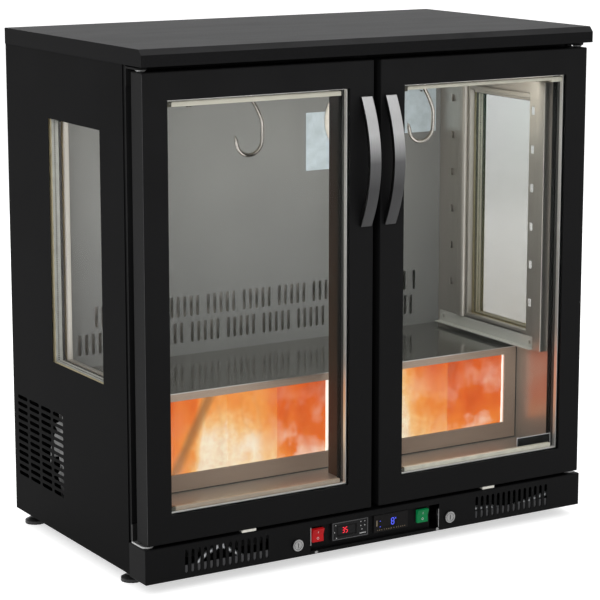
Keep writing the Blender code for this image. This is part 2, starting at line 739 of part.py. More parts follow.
# Doors, each hung on its own pivot
pane_front = door_front + front_lip
rear_pane_front = pane_front + pane + pane_space
for word, side in (("left", -1), ("right", 1)):
    hang = pivot(word + "_door_pivot", (side * pivot_x, pivot_y, door_bottom), origin)

    def across(a, b):
        return sorted((side * a, side * b))

    outer = across(door_gap / 2, half_width - door_side_inset)
    frame = box("door_frame_" + word, outer, (door_front, door_back), (door_bottom, door_top), black_paint, hang)
    bevel(frame, door_edge_bevel, 1)
    view_x = (glass_centre_margin, half_width - glass_side_margin)
    view_z = (glass_bottom, glass_top)
    sheet_x = (view_x[0] - pane_cover, view_x[1] + pane_cover)
    sheet_z = (view_z[0] - pane_cover, view_z[1] + pane_cover)
    groove_x = across(sheet_x[0] - seat_gap, sheet_x[1] + seat_gap)
    groove_z = (sheet_z[0] - seat_gap, sheet_z[1] + seat_gap)
    cut(frame, "door_view_" + word, box_into(bmesh.new(), across(*view_x),
                                             (door_front - cut_over, door_back + cut_over), view_z), hang)
    for label, y in (("front", pane_front), ("rear", rear_pane_front)):
        cut(frame, "door_groove_" + label + "_" + word,
            box_into(bmesh.new(), groove_x, (y - seat_gap, y + pane + seat_gap), groove_z), hang)
        box("door_glass_" + label + "_" + word, across(*sheet_x), (y, y + pane), sheet_z, glass, hang)
    bore = cylinder_into(bmesh.new(), pin_radius + seat_gap, door_bottom - cut_over,
                         door_bottom + pin_length + seat_gap, 2, (side * pivot_x, pivot_y), 16)
    cylinder_into(bore, pin_radius + seat_gap, door_top - pin_length - seat_gap, door_top + cut_over, 2,
                  (side * pivot_x, pivot_y), 16)
    cut(frame, "door_bores_" + word, bore, hang)

    seal_x = (door_gap / 2 + gasket_side_margin, half_width - door_side_inset - gasket_side_margin)
    seal_z = (door_bottom + gasket_end_margin, door_top - gasket_end_margin)
    seal_y = (door_back + seat_gap, frame_front - seat_gap)
    seal = box("door_gasket_" + word, across(*seal_x), seal_y, seal_z, rubber, hang)
    cut(seal, "gasket_opening_" + word,
        box_into(bmesh.new(), across(seal_x[0] + gasket_width, seal_x[1] - gasket_width),
                 (seal_y[0] - cut_over, seal_y[1] + cut_over),
                 (seal_z[0] + gasket_width, seal_z[1] - gasket_width)), hang)
    groove_y = seal_y[0] + gasket_groove
    inside = gasket_width - gasket_groove_depth
    cut(seal, "gasket_groove_" + word,
        box_into(bmesh.new(), across(seal_x[0] + inside, seal_x[1] - inside), (groove_y, groove_y + gasket_groove),
                 (seal_z[0] + inside, seal_z[1] - inside)), hang)

    handle_middle = (handle_bottom + handle_top) / 2
    handle_half = (handle_top - handle_bottom) / 2
    bow = []
    for i in range(handle_points + 1):
        t = 2 * i / handle_points - 1
        bow.append((door_front - handle_end - (handle_reach - handle_end) * (1 - t * t),
                    handle_middle + t * handle_half))
    rest = door_front - seat_gap
    under = [(rest, handle_top)]
    for i in range(handle_points + 1):
        t = 1 - 2 * i / handle_points
        under.append((rest - (handle_reach - handle_thickness) * (1 - t * t),
                      handle_middle + t * handle_foot_share * handle_half))
    under.append((rest, handle_bottom))
    grip = prism("door_handle_" + word, bow + under,
                 *across(handle_offset - handle_width / 2, handle_offset + handle_width / 2), 0, brushed, hang)
    bevel(grip, handle_bevel, 1)
    smooth(grip)

    # Hinge brackets: a rounded plate with a leg on the front frame, and the pin with its shoulder
    for level, plate_low in (("lower", lower_plate_base), ("upper", upper_plate_base)):
        up = 1 if level == "lower" else -1
        edge = [(side * (pivot_x + hinge_radius * cos(a)), pivot_y + hinge_radius * sin(a))
                for a in [-pi * i / 8 for i in range(9)]]
        edge = [(side * (pivot_x + hinge_radius), frame_front - seat_gap)] + edge + [
            (side * (pivot_x - hinge_radius), frame_front - seat_gap)]
        bracket = prism("hinge_" + level + "_" + word, edge, plate_low, plate_low + hinge_plate, 2, stainless)
        leg_x = across(pivot_x + hinge_radius - hinge_leg_width, pivot_x + hinge_radius)
        plate_high = plate_low + hinge_plate
        leg_z = (plate_low, plate_low + hinge_leg_height) if up > 0 else (plate_high - hinge_leg_height, plate_high)
        weld_on(bracket, "hinge_leg_" + level + "_" + word,
                box_into(bmesh.new(), leg_x, (frame_front - seat_gap - hinge_plate, frame_front - seat_gap), leg_z))
        face = door_bottom - seat_gap if up > 0 else door_top + seat_gap
        root = plate_high - sink_in if up > 0 else plate_low + sink_in
        tip = door_bottom + pin_length if up > 0 else door_top - pin_length
        weld_on(bracket, "hinge_shoulder_" + level + "_" + word,
                cylinder_into(bmesh.new(), shoulder_radius, *sorted((root, face)), 2,
                              (side * pivot_x, pivot_y), 20))
        weld_on(bracket, "hinge_pin_" + level + "_" + word,
                cylinder_into(bmesh.new(), pin_radius, *sorted((root, tip)), 2, (side * pivot_x, pivot_y), 16))

# Base panel: an open-backed tray with two slotted grilles, the control recess and the lock holes
panel_half = half_width - panel_inset
panel_back = body_front - seat_gap
tray = box("base_panel", (-panel_half, panel_half), (door_front, panel_back), (panel_bottom, panel_top),
           black_paint)
bevel(tray, panel_bevel, 1)
cut(tray, "panel_hollow", box_into(bmesh.new(), (-panel_half + panel_wall, panel_half - panel_wall),
                                   (door_front + panel_wall, panel_back + cut_over),
                                   (panel_bottom + panel_wall, panel_top - panel_wall)))
through = (door_front - cut_over, door_front + panel_wall + cut_over)
slot_bottom, slot_top = panel_bottom + grille_foot, panel_top - grille_head
holes = box_into(bmesh.new(), (recess_left, recess_right), through, (recess_bottom, recess_top))
for side in (-1, 1):
    for i in range(grille_count):
        prism_into(holes, slot(side * (half_width - grille_outer_margin - i * grille_pitch),
                               (slot_bottom + slot_top) / 2, grille_slot_width / 2,
                               (slot_top - slot_bottom) / 2, 3), *through, 1)
    cylinder_into(holes, lock_barrel_radius + seat_gap, *through, 1, (side * lock_x, lock_z), 20)
cut(tray, "panel_holes", holes)

# Control plate, set back in the recess, with a lower lip and a pocket behind each switch
plate_front = door_front + control_setback
plate_rear = plate_front + control_plate
plate_low = recess_bottom + seat_gap
lip_front = door_front - control_lip_proud
control = prism("control_plate", [(lip_front, plate_low), (plate_rear, plate_low),
                                  (plate_rear, recess_top - seat_gap), (plate_front, recess_top - seat_gap),
                                  (plate_front, plate_low + control_plate), (lip_front, plate_low + control_plate)],
                recess_left + seat_gap, recess_right - control_end_pocket, 0, black_paint)
rocker_y = plate_front + seat_gap
pockets = bmesh.new()
wells = bmesh.new()
for x in (rocker_red_x, rocker_green_x):
    reach = rocker_half_width + seat_gap
    box_into(pockets, (x - reach - pocket_wall, x + reach + pocket_wall),
             (plate_front + sink_in / 2, rocker_y + pocket_depth + pocket_wall),
             (rocker_z - pocket_half_height - pocket_wall, rocker_z + pocket_half_height + pocket_wall))
    box_into(wells, (x - reach, x + reach), (plate_front - cut_over / 2, rocker_y + pocket_depth),
             (rocker_z - pocket_half_height, rocker_z + pocket_half_height))
weld_on(control, "switch_pockets", pockets)
humidity_top = recess_top - humidity_drop
temperature_top = recess_top - temperature_drop
humidity_face = (humidity_left, humidity_left + humidity_width, humidity_top - humidity_height, humidity_top)
temperature_face = (temperature_left, temperature_left + temperature_width,
                    temperature_top - temperature_height, temperature_top)
for left, right, low, high in (humidity_face, temperature_face):
    inset = controller_margin - seat_gap
    box_into(wells, (left + inset, right - inset), (plate_front - cut_over / 2, plate_rear + cut_over),
             (low + inset, high - inset))
cut(control, "control_wells", wells)

for name, mat, bezel, (left, right, low, high) in (
        ("humidity_controller", grey_plastic, humidity_bezel, humidity_face),
        ("temperature_controller", plastic, temperature_bezel, temperature_face)):
    seat = plate_front - seat_gap
    unit = box(name, (left, right), (seat - bezel, seat), (low, high), mat)
    weld_on(unit, name + "_body", box_into(bmesh.new(), (left + controller_margin, right - controller_margin),
                                           (seat - sink_in, seat + controller_body),
                                           (low + controller_margin, high - controller_margin)))
    wide, tall = right - left, high - low
    screen_x = left + wide * display_side_share
    screen_z = low + tall * display_low_share
    cut(unit, name + "_display", box_into(bmesh.new(), (screen_x, screen_x + wide * display_width_share),
                                          (seat - bezel - cut_over, seat - bezel + display_depth),
                                          (screen_z, screen_z + tall * display_height_share)))

# Rocker switches, tilted on their pivots
paddle = [(-rocker_front, rocker_half_height), (rocker_dip - rocker_front, 0),
          (-rocker_front, -rocker_half_height), (0, -rocker_half_height), (rocker_back, -rocker_waist),
          (rocker_back, rocker_waist), (0, rocker_half_height)]
lean = radians(rocker_tilt)
for name, x, mat in (("rocker_red", rocker_red_x, red_plastic), ("rocker_green", rocker_green_x, green_plastic)):
    tilted = [(rocker_y + y * cos(lean) - z * sin(lean), rocker_z + y * sin(lean) + z * cos(lean))
              for y, z in paddle]
    prism(name, tilted, x - rocker_half_width, x + rocker_half_width, 0, mat, at=(x, rocker_y, rocker_z))

# Cam locks: the turning plug with its key slot and the cam behind the panel
for word, side in (("left", -1), ("right", 1)):
    spot = (side * lock_x, lock_z)
    face_back = door_front - seat_gap
    bm = cylinder_into(bmesh.new(), lock_face_radius, face_back - lock_face_proud, face_back, 1, spot)
    plug = place("lock_" + word, bm, chrome, (side * lock_x, face_back, lock_z))
    smooth(plug)
    weld_on(plug, "lock_barrel_" + word, cylinder_into(bmesh.new(), lock_barrel_radius, face_back - sink_in,
                                                       face_back + lock_barrel_length, 1, spot))
    cam_y = face_back + lock_barrel_length
    weld_on(plug, "lock_cam_" + word,
            box_into(bmesh.new(), sorted((side * (lock_x - cam_width / 2), side * (lock_x + cam_length))),
                     (cam_y - sink_in / 2, cam_y + cam_thickness),
                     (lock_z - cam_width / 2, lock_z + cam_width / 2)))
    cut(plug, "key_slot_" + word,
        box_into(bmesh.new(), (side * lock_x - key_slot_width / 2, side * lock_x + key_slot_width / 2),
                 (face_back - lock_face_proud - cut_over, face_back - lock_face_proud + key_slot_depth),
                 (lock_z - key_slot_length / 2, lock_z + key_slot_length / 2)))

# Salt housing: front frame and top plate in one folded sheet, the salt wall and the light behind it
plate_end = cover_front - seat_gap
housing = prism("salt_frame", [(salt_front, floor_top + seat_gap), (salt_back, floor_top + seat_gap),
                               (salt_back, plate_top - plate_thickness), (plate_end, plate_top - plate_thickness),
                               (plate_end, plate_top), (salt_front, plate_top)],
                -interior_half + seat_gap, interior_half - seat_gap, 0, stainless)
cut(housing, "salt_window", box_into(bmesh.new(), (-interior_half + salt_post, interior_half - salt_post),
                                     (salt_front - cut_over, salt_back + cut_over),
                                     (salt_window_bottom, salt_window_top)))
bricks = box("salt_wall", (-salt_wall_half, salt_wall_half), (bricks_front, bricks_back), (salt_bottom, salt_top),
             salt)
seams = bmesh.new()
for share in salt_seam_shares:
    x = -salt_wall_half + 2 * salt_wall_half * share
    box_into(seams, (x - salt_seam_width / 2, x + salt_seam_width / 2),
             (bricks_front - cut_over / 4, bricks_front + salt_seam_depth),
             (salt_bottom - cut_over, salt_top + cut_over))
cut(bricks, "salt_seams", seams)
ledge_top = salt_bottom - seat_gap
prism("salt_backlight", [(bricks_front, ledge_top), (light_front, ledge_top), (light_front, salt_top),
                         (light_rear, salt_top), (light_rear, floor_top + seat_gap),
                         (light_front, floor_top + seat_gap), (light_front, ledge_top - ledge_thickness),
                         (bricks_front, ledge_top - ledge_thickness)], -salt_wall_half, salt_wall_half, 0,
      lamp_white)

# Evaporator cover with two staggered rows of slots, the coil and its fan behind it
cover = box("evaporator_cover", (-interior_half + seat_gap, interior_half - seat_gap),
            (cover_front, cover_front + cover_thickness), (step_top + seat_gap, ceiling - seat_gap), cover_grey)
holes = bmesh.new()
for row in range(cover_rows):
    low = plate_top + cover_row_rise + row * cover_row_pitch
    reach = interior_half - cover_slot_edge
    x = -reach + cover_slot_width / 2 + row * cover_row_shift
    count = 0
    while x < reach:
        prism_into(holes, slot(x, low + cover_slot_height / 2, cover_slot_width / 2, cover_slot_height / 2, 3),
                   cover_front - cut_over, cover_front + cover_thickness + cut_over, 1)
        count += 1
        x += cover_slot_pitch + (cover_group_gap if count % cover_group == 0 else 0)
cut(cover, "cover_slots", holes)
sensor = box("sensor_cover", (sensor_left, sensor_left + sensor_width),
             (cover_front - seat_gap - sensor_depth, cover_front - seat_gap),
             (sensor_bottom, sensor_bottom + sensor_height), lamp_white)
bevel(sensor, sensor_bevel, 2)

coil_back = chamber_back - seat_gap
coil = box("evaporator", (coil_left, coil_right), (coil_front, coil_back), (coil_bottom, coil_top), aluminium)
grooves = bmesh.new()
pitch = (coil_right - coil_left) / coil_fins
for i in range(coil_fins):
    x = coil_left + (i + 0.5) * pitch
    half = pitch * coil_fin_gap_share / 2
    box_into(grooves, (x - half, x + half), (coil_front - cut_over, coil_front + coil_groove),
             (coil_bottom - cut_over, coil_top + cut_over))
cut(coil, "coil_grooves", grooves)
fan_spot = (evaporator_fan_x, evaporator_fan_z)
weld_on(coil, "fan_arm", box_into(bmesh.new(), (coil_right - sink_in, evaporator_fan_x),
                                  (coil_back - motor_arm_depth, coil_back),
                                  (evaporator_fan_z - motor_arm_height / 2,
                                   evaporator_fan_z + motor_arm_height / 2)))
weld_on(coil, "fan_motor", cylinder_into(bmesh.new(), motor_radius, coil_back - motor_length, coil_back, 1,
                                         fan_spot))


def fan(name, radius, at, rotation):
    """A hub with twisted blades; the axis is the piece's own Z and the hub front faces +Z."""
    bm = bmesh.new()
    cylinder_into(bm, fan_hub_radius, 0, fan_hub_depth, 2, (0, 0), 20)
    mesh = bpy.data.meshes.new(name)
    bmesh.ops.recalc_face_normals(bm, faces=bm.faces)
    bm.to_mesh(mesh)
    bm.free()
    mesh.materials.append(aluminium)
    hub = bpy.data.objects.new(name, mesh)
    parts.objects.link(hub)
    sheet = bmesh.new()
    inner = fan_hub_radius - sink_in
    for blade in range(fan_blades):
        start = 2 * pi * blade / fan_blades
        made = bmesh.ops.create_grid(sheet, x_segments=3, y_segments=2, size=1)["verts"]
        for v in made:
            u, w = (v.co.x + 1) / 2, (v.co.y + 1) / 2
            r = inner + (radius - inner) * u
            wide = radians(34) + radians(20) * u
            angle = start + (w - 0.5) * wide + radians(12) * u
            v.co = (r * cos(angle), r * sin(angle),
                    fan_hub_depth / 2 + fan_blade_rise * (w - 0.5) * 2 * (1 - fan_flatten_share * u))
    bmesh.ops.recalc_face_normals(sheet, faces=sheet.faces)
    blades_mesh = bpy.data.meshes.new(name + "_blades")
    sheet.to_mesh(blades_mesh)
    sheet.free()
    blades = bpy.data.objects.new(name + "_blades", blades_mesh)
    tools.objects.link(blades)
    blades.hide_render = True
    blades.display_type = "WIRE"
    solid = blades.modifiers.new("sheet", "SOLIDIFY")
    solid.thickness = fan_blade_sheet
    solid.offset = 0
    for obj in (hub, blades):
        obj.parent = origin
        places[obj.name] = Vector(at)
        obj.location = places[obj.name]
        obj.rotation_euler = rotation
    combine(hub, blades, "UNION")
    return smooth(hub)


fan("evaporator_fan", evaporator_fan_radius, (evaporator_fan_x, coil_back - motor_length - seat_gap,
                                              evaporator_fan_z), (pi / 2, 0, 0))

# Shelf pilasters on both walls and the shelf runners in front of them
for word, side in (("left", -1), ("right", 1)):
    wall = interior_half - seat_gap
    face = interior_half - pilaster_depth
    rib = interior_half - pilaster_rib_depth
    inner, sheet = face + pilaster_sheet, pilaster_sheet

    def ribbed(near, step, far):
        return [(wall, near), (rib, near), (rib, step), (face, step), (face, far), (wall, far),
                (wall, far - sheet), (inner, far - sheet), (inner, step - sheet), (rib + sheet, step - sheet),
                (rib + sheet, near + sheet), (wall, near + sheet)]

    near, far = pilaster_rear_front, pilaster_rear_front + pilaster_rear_width
    plain = [(wall, near), (face, near), (face, far), (wall, far), (wall, far - sheet), (inner, far - sheet),
             (inner, near + sheet), (wall, near + sheet)]
    rear_form = (plain, plate_top + seat_gap)
    if word == "right":
        rear_form = (ribbed(pilaster_rear_rib_front, pilaster_rear_rib_rear, far), runner_top + seat_gap)
    for label, channel, low, middle_y in (
            ("front", ribbed(pilaster_rib_front, pilaster_rib_rear, pilaster_front_rear),
             plate_top + pilaster_front_rise, (pilaster_rib_rear + pilaster_front_rear) / 2),
            ("rear", *rear_form, (near + far) / 2)):
        post = prism("pilaster_" + label + "_" + word, [(side * x, y) for x, y in channel], low, pilaster_top, 2,
                     stainless)
        holes = bmesh.new()
        for i in range(pilaster_slots):
            prism_into(holes, slot(middle_y, pilaster_slot_top - i * pilaster_slot_pitch,
                                   pilaster_slot_width / 2, pilaster_slot_height / 2),
                       *sorted((side * (face - cut_over / 2), side * (face + cut_over / 2))), 0)
        cut(post, "pilaster_slots_" + label + "_" + word, holes)
    hang_x = face - seat_gap
    angle = [(hang_x, runner_bottom), (hang_x, runner_top), (hang_x - runner_sheet, runner_top),
             (hang_x - runner_sheet, runner_bottom + runner_sheet),
             (hang_x - runner_lip, runner_bottom + runner_sheet), (hang_x - runner_lip, runner_bottom)]
    bar = prism("shelf_runner_" + word, [(side * x, z) for x, z in angle], runner_front, runner_rear, 1, stainless)
    holes = bmesh.new()
    for y in (runner_front + runner_hole_inset, runner_rear - runner_hole_inset):
        z = runner_bottom + runner_height / 2
        box_into(holes, sorted((side * (hang_x - cut_over), side * (hang_x + cut_over))),
                 (y - runner_hole / 2, y + runner_hole / 2), (z - runner_hole / 2, z + runner_hole / 2))
    cut(bar, "runner_holes_" + word, holes)

# Hanging rail with its wall flanges
rail_half = interior_half - seat_gap
turned("hanging_rail", [(0, rail_half), (rail_flange_radius, rail_half),
                        (rail_flange_radius, rail_half - rail_flange), (rail_radius, rail_half - rail_flange),
                        (rail_radius, rail_flange - rail_half), (rail_flange_radius, rail_flange - rail_half),
                        (rail_flange_radius, -rail_half), (0, -rail_half)], stainless, (0, rail_y, rail_z),
       steps=16, rotation=(0, pi / 2, 0))


def hook_path():
    """Centre line of a hook hung on the rail: over the rail, down the shank, round the bend, up to the tip."""
    over = rail_radius + hook_wire + seat_gap
    path = [(0, over, -hook_lead)]
    path += [(0, over * cos(a), over * sin(a)) for a in [pi * i / 8 for i in range(9)]]
    path.append((0, -over * hook_tuck_share, -hook_lead))
    path.append((hook_bend, 0, -hook_drop * hook_slope_share))
    path.append((hook_bend, 0, hook_bend - hook_drop))
    path += [(hook_bend * cos(a), 0, -hook_drop + hook_bend + hook_bend * sin(a))
             for a in [-pi * i / 6 for i in range(1, 6)]]
    path.append((-hook_bend, 0, hook_bend - hook_drop))
    path.append((-hook_bend - hook_tip / 4, 0, hook_bend + hook_tip - hook_drop))
    return path


for word, x in (("left", hook_left_x), ("right", hook_right_x)):
    curve = bpy.data.curves.new("hook_" + word, "CURVE")
    curve.dimensions = "3D"
    curve.bevel_depth = hook_wire
    curve.bevel_resolution = 1
    curve.use_fill_caps = True
    line = curve.splines.new("POLY")
    points = hook_path()
    line.points.add(len(points) - 1)
    for point, place_at in zip(line.points, points):
        point.co = (*place_at, 1)
    curve.materials.append(chrome)
    hook = bpy.data.objects.new("hook_" + word, curve)
    parts.objects.link(hook)
    hook.parent = origin
    places[hook.name] = Vector((x, rail_y, rail_z))
    hook.location = places[hook.name]

# Lamps under the front of the ceiling
for word, side in (("left", -1), ("right", 1)):
    prism("lamp_" + word, [(lamp_front, ceiling - seat_gap), (lamp_front, lamp_bottom + lamp_nose),
                           (lamp_front + lamp_depth / 4, lamp_bottom), (lamp_front + lamp_depth * 3 / 4, lamp_bottom),
                           (lamp_front + lamp_depth, lamp_bottom + lamp_nose),
                           (lamp_front + lamp_depth, ceiling - seat_gap)],
          *sorted((side * lamp_near, side * lamp_far)), 0, lamp_white)

# Machine compartment: compressor, condenser and its fan behind the left louvres
pot_low = base_top + seat_gap
seam_z = compressor_height / 2
pot = [(0, compressor_height)]
pot += [(compressor_radius * sin(a), compressor_height - compressor_radius * compressor_dome_share * (1 - cos(a)))
        for a in [pi / 2 * i / 5 for i in range(1, 6)]]
pot += [(compressor_radius, seam_z + compressor_seam), (compressor_radius + compressor_seam, seam_z),
        (compressor_radius, seam_z - compressor_seam)]
pot += [(compressor_radius * cos(a), compressor_stand + compressor_radius * compressor_base_share * (1 - sin(a)))
        for a in [pi / 2 * i / 3 for i in range(0, 3)]]
pot.append((0, compressor_stand))
motor_pot = turned("compressor", pot, plastic, (compressor_x, compressor_y, pot_low), steps=16)
weld_on(motor_pot, "compressor_foot",
        box_into(bmesh.new(), (compressor_x - compressor_foot_half, compressor_x + compressor_foot_half),
                 (compressor_y - compressor_foot_depth, compressor_y + compressor_foot_depth),
                 (pot_low, pot_low + compressor_foot_thickness)))
weld_on(motor_pot, "compressor_stem",
        cylinder_into(bmesh.new(), compressor_radius / 2, pot_low + sink_in, pot_low + compressor_stand * 2, 2,
                      (compressor_x, compressor_y), 16))

block = box("condenser", (condenser_left, condenser_right), (condenser_front, condenser_rear),
            (pot_low, condenser_top), aluminium)
grooves = bmesh.new()
pitch = (condenser_rear - condenser_front) / condenser_fins
for i in range(condenser_fins):
    y = condenser_front + (i + 0.5) * pitch
    half = pitch * coil_fin_gap_share / 2
    box_into(grooves, (condenser_left - cut_over, condenser_left + condenser_groove), (y - half, y + half),
             (pot_low - cut_over, condenser_top + cut_over))
cut(block, "condenser_grooves", grooves)
motor_end = condenser_left - condenser_motor
weld_on(block, "condenser_motor", cylinder_into(bmesh.new(), motor_radius, motor_end,
                                                condenser_left + condenser_groove + sink_in, 0,
                                                (condenser_fan_y, condenser_fan_z)))
fan("condenser_fan", condenser_fan_radius, (motor_end - seat_gap, condenser_fan_y, condenser_fan_z),
    (0, -pi / 2, 0))
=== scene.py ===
import json
from math import cos, pi, radians, sin
import bmesh
import bpy
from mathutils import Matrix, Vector, noise


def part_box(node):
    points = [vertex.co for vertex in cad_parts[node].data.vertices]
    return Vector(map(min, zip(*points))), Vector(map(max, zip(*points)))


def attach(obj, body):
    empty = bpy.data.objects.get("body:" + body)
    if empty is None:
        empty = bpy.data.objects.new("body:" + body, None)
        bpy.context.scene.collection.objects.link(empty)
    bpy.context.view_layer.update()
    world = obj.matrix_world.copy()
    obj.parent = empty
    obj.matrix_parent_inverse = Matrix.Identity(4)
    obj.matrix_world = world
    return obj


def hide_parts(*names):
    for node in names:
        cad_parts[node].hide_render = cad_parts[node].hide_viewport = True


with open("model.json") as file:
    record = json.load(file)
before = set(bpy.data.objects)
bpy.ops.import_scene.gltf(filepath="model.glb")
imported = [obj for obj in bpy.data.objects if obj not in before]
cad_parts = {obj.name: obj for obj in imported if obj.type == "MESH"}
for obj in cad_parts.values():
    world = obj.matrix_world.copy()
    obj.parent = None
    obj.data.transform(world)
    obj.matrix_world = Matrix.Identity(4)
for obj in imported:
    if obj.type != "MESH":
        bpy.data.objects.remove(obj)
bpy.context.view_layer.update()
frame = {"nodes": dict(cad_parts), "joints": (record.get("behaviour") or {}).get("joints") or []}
cadNodes = frame["nodes"]
jointSpot = {joint["name"]: Vector(joint["pos_m"]) for joint in frame["joints"]}
doorSides = (("left", -1), ("right", 1))
scene = bpy.context.scene
print("frame loaded,", len(cadNodes), "solids")


# nodes that the finishes share
def grey(level):
    return (level, level, level)


def setInputs(node, values):
    for label, value in values.items():
        node.inputs[label].default_value = value


def newFinish(name, colour, roughness, metallic=0.0, specular=0.5):
    finish = bpy.data.materials.new(name)
    finish.use_nodes = True
    shader = finish.node_tree.nodes["Principled BSDF"]
    setInputs(shader, {"Base Color": (*colour, 1), "Roughness": roughness, "Metallic": metallic,
                       "Specular IOR Level": specular})
    finish.diffuse_color = (*colour, 1)
    return finish, finish.node_tree, shader


def cabinetCoords(tree, stretch=(1, 1, 1)):
    coords = tree.nodes.new("ShaderNodeTexCoord")
    mapping = tree.nodes.new("ShaderNodeMapping")
    mapping.inputs["Scale"].default_value = stretch
    tree.links.new(coords.outputs["Object"], mapping.inputs["Vector"])
    return mapping.outputs["Vector"]


def axisOf(tree, vector, letter):
    split = tree.nodes.new("ShaderNodeSeparateXYZ")
    tree.links.new(vector, split.inputs[0])
    return split.outputs[letter]


def facing(tree, letter):
    # how far the surface faces along one axis
    return axisOf(tree, tree.nodes.new("ShaderNodeNewGeometry").outputs["Normal"], letter)


def addMath(tree, kind, *values):
    step = tree.nodes.new("ShaderNodeMath")
    step.operation = kind
    for socket, value in zip(step.inputs, values):
        tree.links.new(value, socket)
    return step.outputs[0]


def addNoise(tree, vector, scale, detail=3.0, roughness=0.5, distortion=0.0):
    speckle = tree.nodes.new("ShaderNodeTexNoise")
    setInputs(speckle, {"Scale": scale, "Detail": detail, "Roughness": roughness, "Distortion": distortion})
    tree.links.new(vector, speckle.inputs["Vector"])
    return speckle.outputs["Fac"]


def addRamp(tree, factor, stops):
    # stops are a place and a colour, or a place and a grey level
    ramp = tree.nodes.new("ShaderNodeValToRGB")
    while len(ramp.color_ramp.elements) < len(stops):
        ramp.color_ramp.elements.new(0.5)
    for element, (place, tone) in zip(ramp.color_ramp.elements, stops):
        element.position = place
        element.color = (*(tone if isinstance(tone, tuple) else grey(tone)), 1)
    tree.links.new(factor, ramp.inputs["Fac"])
    return ramp.outputs["Color"]


def addRange(tree, factor, low, high, fromLow=0.0, fromHigh=1.0):
    spread = tree.nodes.new("ShaderNodeMapRange")
    setInputs(spread, {"From Min": fromLow, "From Max": fromHigh, "To Min": low, "To Max": high})
    tree.links.new(factor, spread.inputs["Value"])
    return spread.outputs["Result"]


def addFade(tree, vector, low, high, atLow, atHigh):
    # a value that runs from atLow to atHigh between two heights
    return addRange(tree, axisOf(tree, vector, "Z"), atLow, atHigh, low, high)


def addMix(tree, factor, a, b):
    mix = tree.nodes.new("ShaderNodeMix")
    mix.data_type = "RGBA"
    for socket, value in ((mix.inputs[0], factor), (mix.inputs[6], a), (mix.inputs[7], b)):
        if isinstance(value, (int, float)):
            socket.default_value = value
        elif isinstance(value, tuple):
            socket.default_value = (*value, 1)
        else:
            tree.links.new(value, socket)
    return mix.outputs[2]


def setLook(tree, shader, tone, rough=None, height=None, strength=0.3, depth=0.0):
    # colour, roughness and relief of a finish
    tree.links.new(tone, shader.inputs["Base Color"])
    if rough:
        tree.links.new(rough, shader.inputs["Roughness"])
    if height:
        bump = tree.nodes.new("ShaderNodeBump")
        setInputs(bump, {"Strength": strength, "Distance": depth})
        tree.links.new(height, bump.inputs["Height"])
        tree.links.new(bump.outputs["Normal"], shader.inputs["Normal"])


# camera and light
studio = {
    "cameraSpot": (-2.06, -3.363, 1.21),
    "turn": 31.4, "tilt": 10.69,      # degrees to the right, degrees down
    "lens": 134.03, "shift": -0.05, "sightEnd": 200,
    "bounces": 10, "clearBounces": 24,
    "floorSize": 90, "floorTone": 0.8, "floorGlow": 0.58,
    "skyLight": 0.75,                  # what lights the cabinet; the background itself is white
    "softboxes": {                     # place, aim, size and power
        "keySoftbox": ((-2.6, -2.4, 2.2), (0, 0, 0.5), 1.8, 55),
        "topSoftbox": ((0.4, 0.3, 3.2), (0, 0, 0.9), 2.2, 34),
        "backSoftbox": ((1.6, 3.0, 1.6), (0, 0.2, 0.45), 1.8, 24),
    },
}
chamberLight = {"aside": 0.21, "offBack": 0.03, "underRoof": 0.02, "aimY": 0.12, "aimZ": 0.35, "long": 0.36,
                "deep": 0.02, "power": 1.2, "colour": (1, 0.97, 0.9)}
camera = bpy.data.objects.new("photoCamera", bpy.data.cameras.new("photoCamera"))
camera.location = studio["cameraSpot"]
camera.rotation_euler = (radians(90 - studio["tilt"]), 0, -radians(studio["turn"]))
camera.data.lens = studio["lens"]
camera.data.shift_y = studio["shift"]
camera.data.clip_end = studio["sightEnd"]
scene.collection.objects.link(camera)
scene.camera = camera
scene.view_settings.view_transform = "Standard"
scene.cycles.transparent_max_bounces = studio["clearBounces"]
scene.cycles.max_bounces = studio["bounces"]


def whiteRays(tree):
    # 1 for the rays that see the background, straight or in metal and glass
    rays = tree.nodes.new("ShaderNodeLightPath").outputs
    seen = addMath(tree, "MAXIMUM", rays["Is Camera Ray"], rays["Is Glossy Ray"])
    return addMath(tree, "MAXIMUM", seen, rays["Is Transmission Ray"])


world = bpy.data.worlds.new("studioSky")
world.use_nodes = True
sky = world.node_tree
plainSky, whiteSky = sky.nodes["Background"], sky.nodes.new("ShaderNodeBackground")
skyMix = sky.nodes.new("ShaderNodeMixShader")
sky.links.new(whiteRays(sky), skyMix.inputs[0])
for i, (part, strength) in enumerate(((plainSky, studio["skyLight"]), (whiteSky, 1))):
    setInputs(part, {"Color": (1, 1, 1, 1), "Strength": strength})
    sky.links.new(part.outputs[0], skyMix.inputs[i + 1])
sky.links.new(skyMix.outputs[0], sky.nodes["World Output"].inputs["Surface"])
scene.world = world


def softLamp(name, spot, target, size, power, colour=(1, 1, 1), sizeY=None):
    light = bpy.data.lights.new(name, "AREA")
    light.shape = "RECTANGLE"
    light.size = size
    light.size_y = sizeY or size
    light.energy = power
    light.color = colour
    lamp = bpy.data.objects.new(name, light)
    lamp.location = spot
    lamp.rotation_euler = (Vector(target) - Vector(spot)).to_track_quat("-Z", "Y").to_euler()
    scene.collection.objects.link(lamp)
    lamp.visible_glossy = False


for name, values in studio["softboxes"].items():
    softLamp(name, *values)
chamberLow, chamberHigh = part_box("inner_liner")
for word, side in doorSides:
    lampX = side * chamberLight["aside"]
    softLamp("ledGlow_" + word,
             (lampX, chamberLow.y + chamberLight["offBack"], chamberHigh.z - chamberLight["underRoof"]),
             (lampX, chamberLight["aimY"], chamberLight["aimZ"]), chamberLight["long"],
             chamberLight["power"], chamberLight["colour"], chamberLight["deep"])
print("studio set")


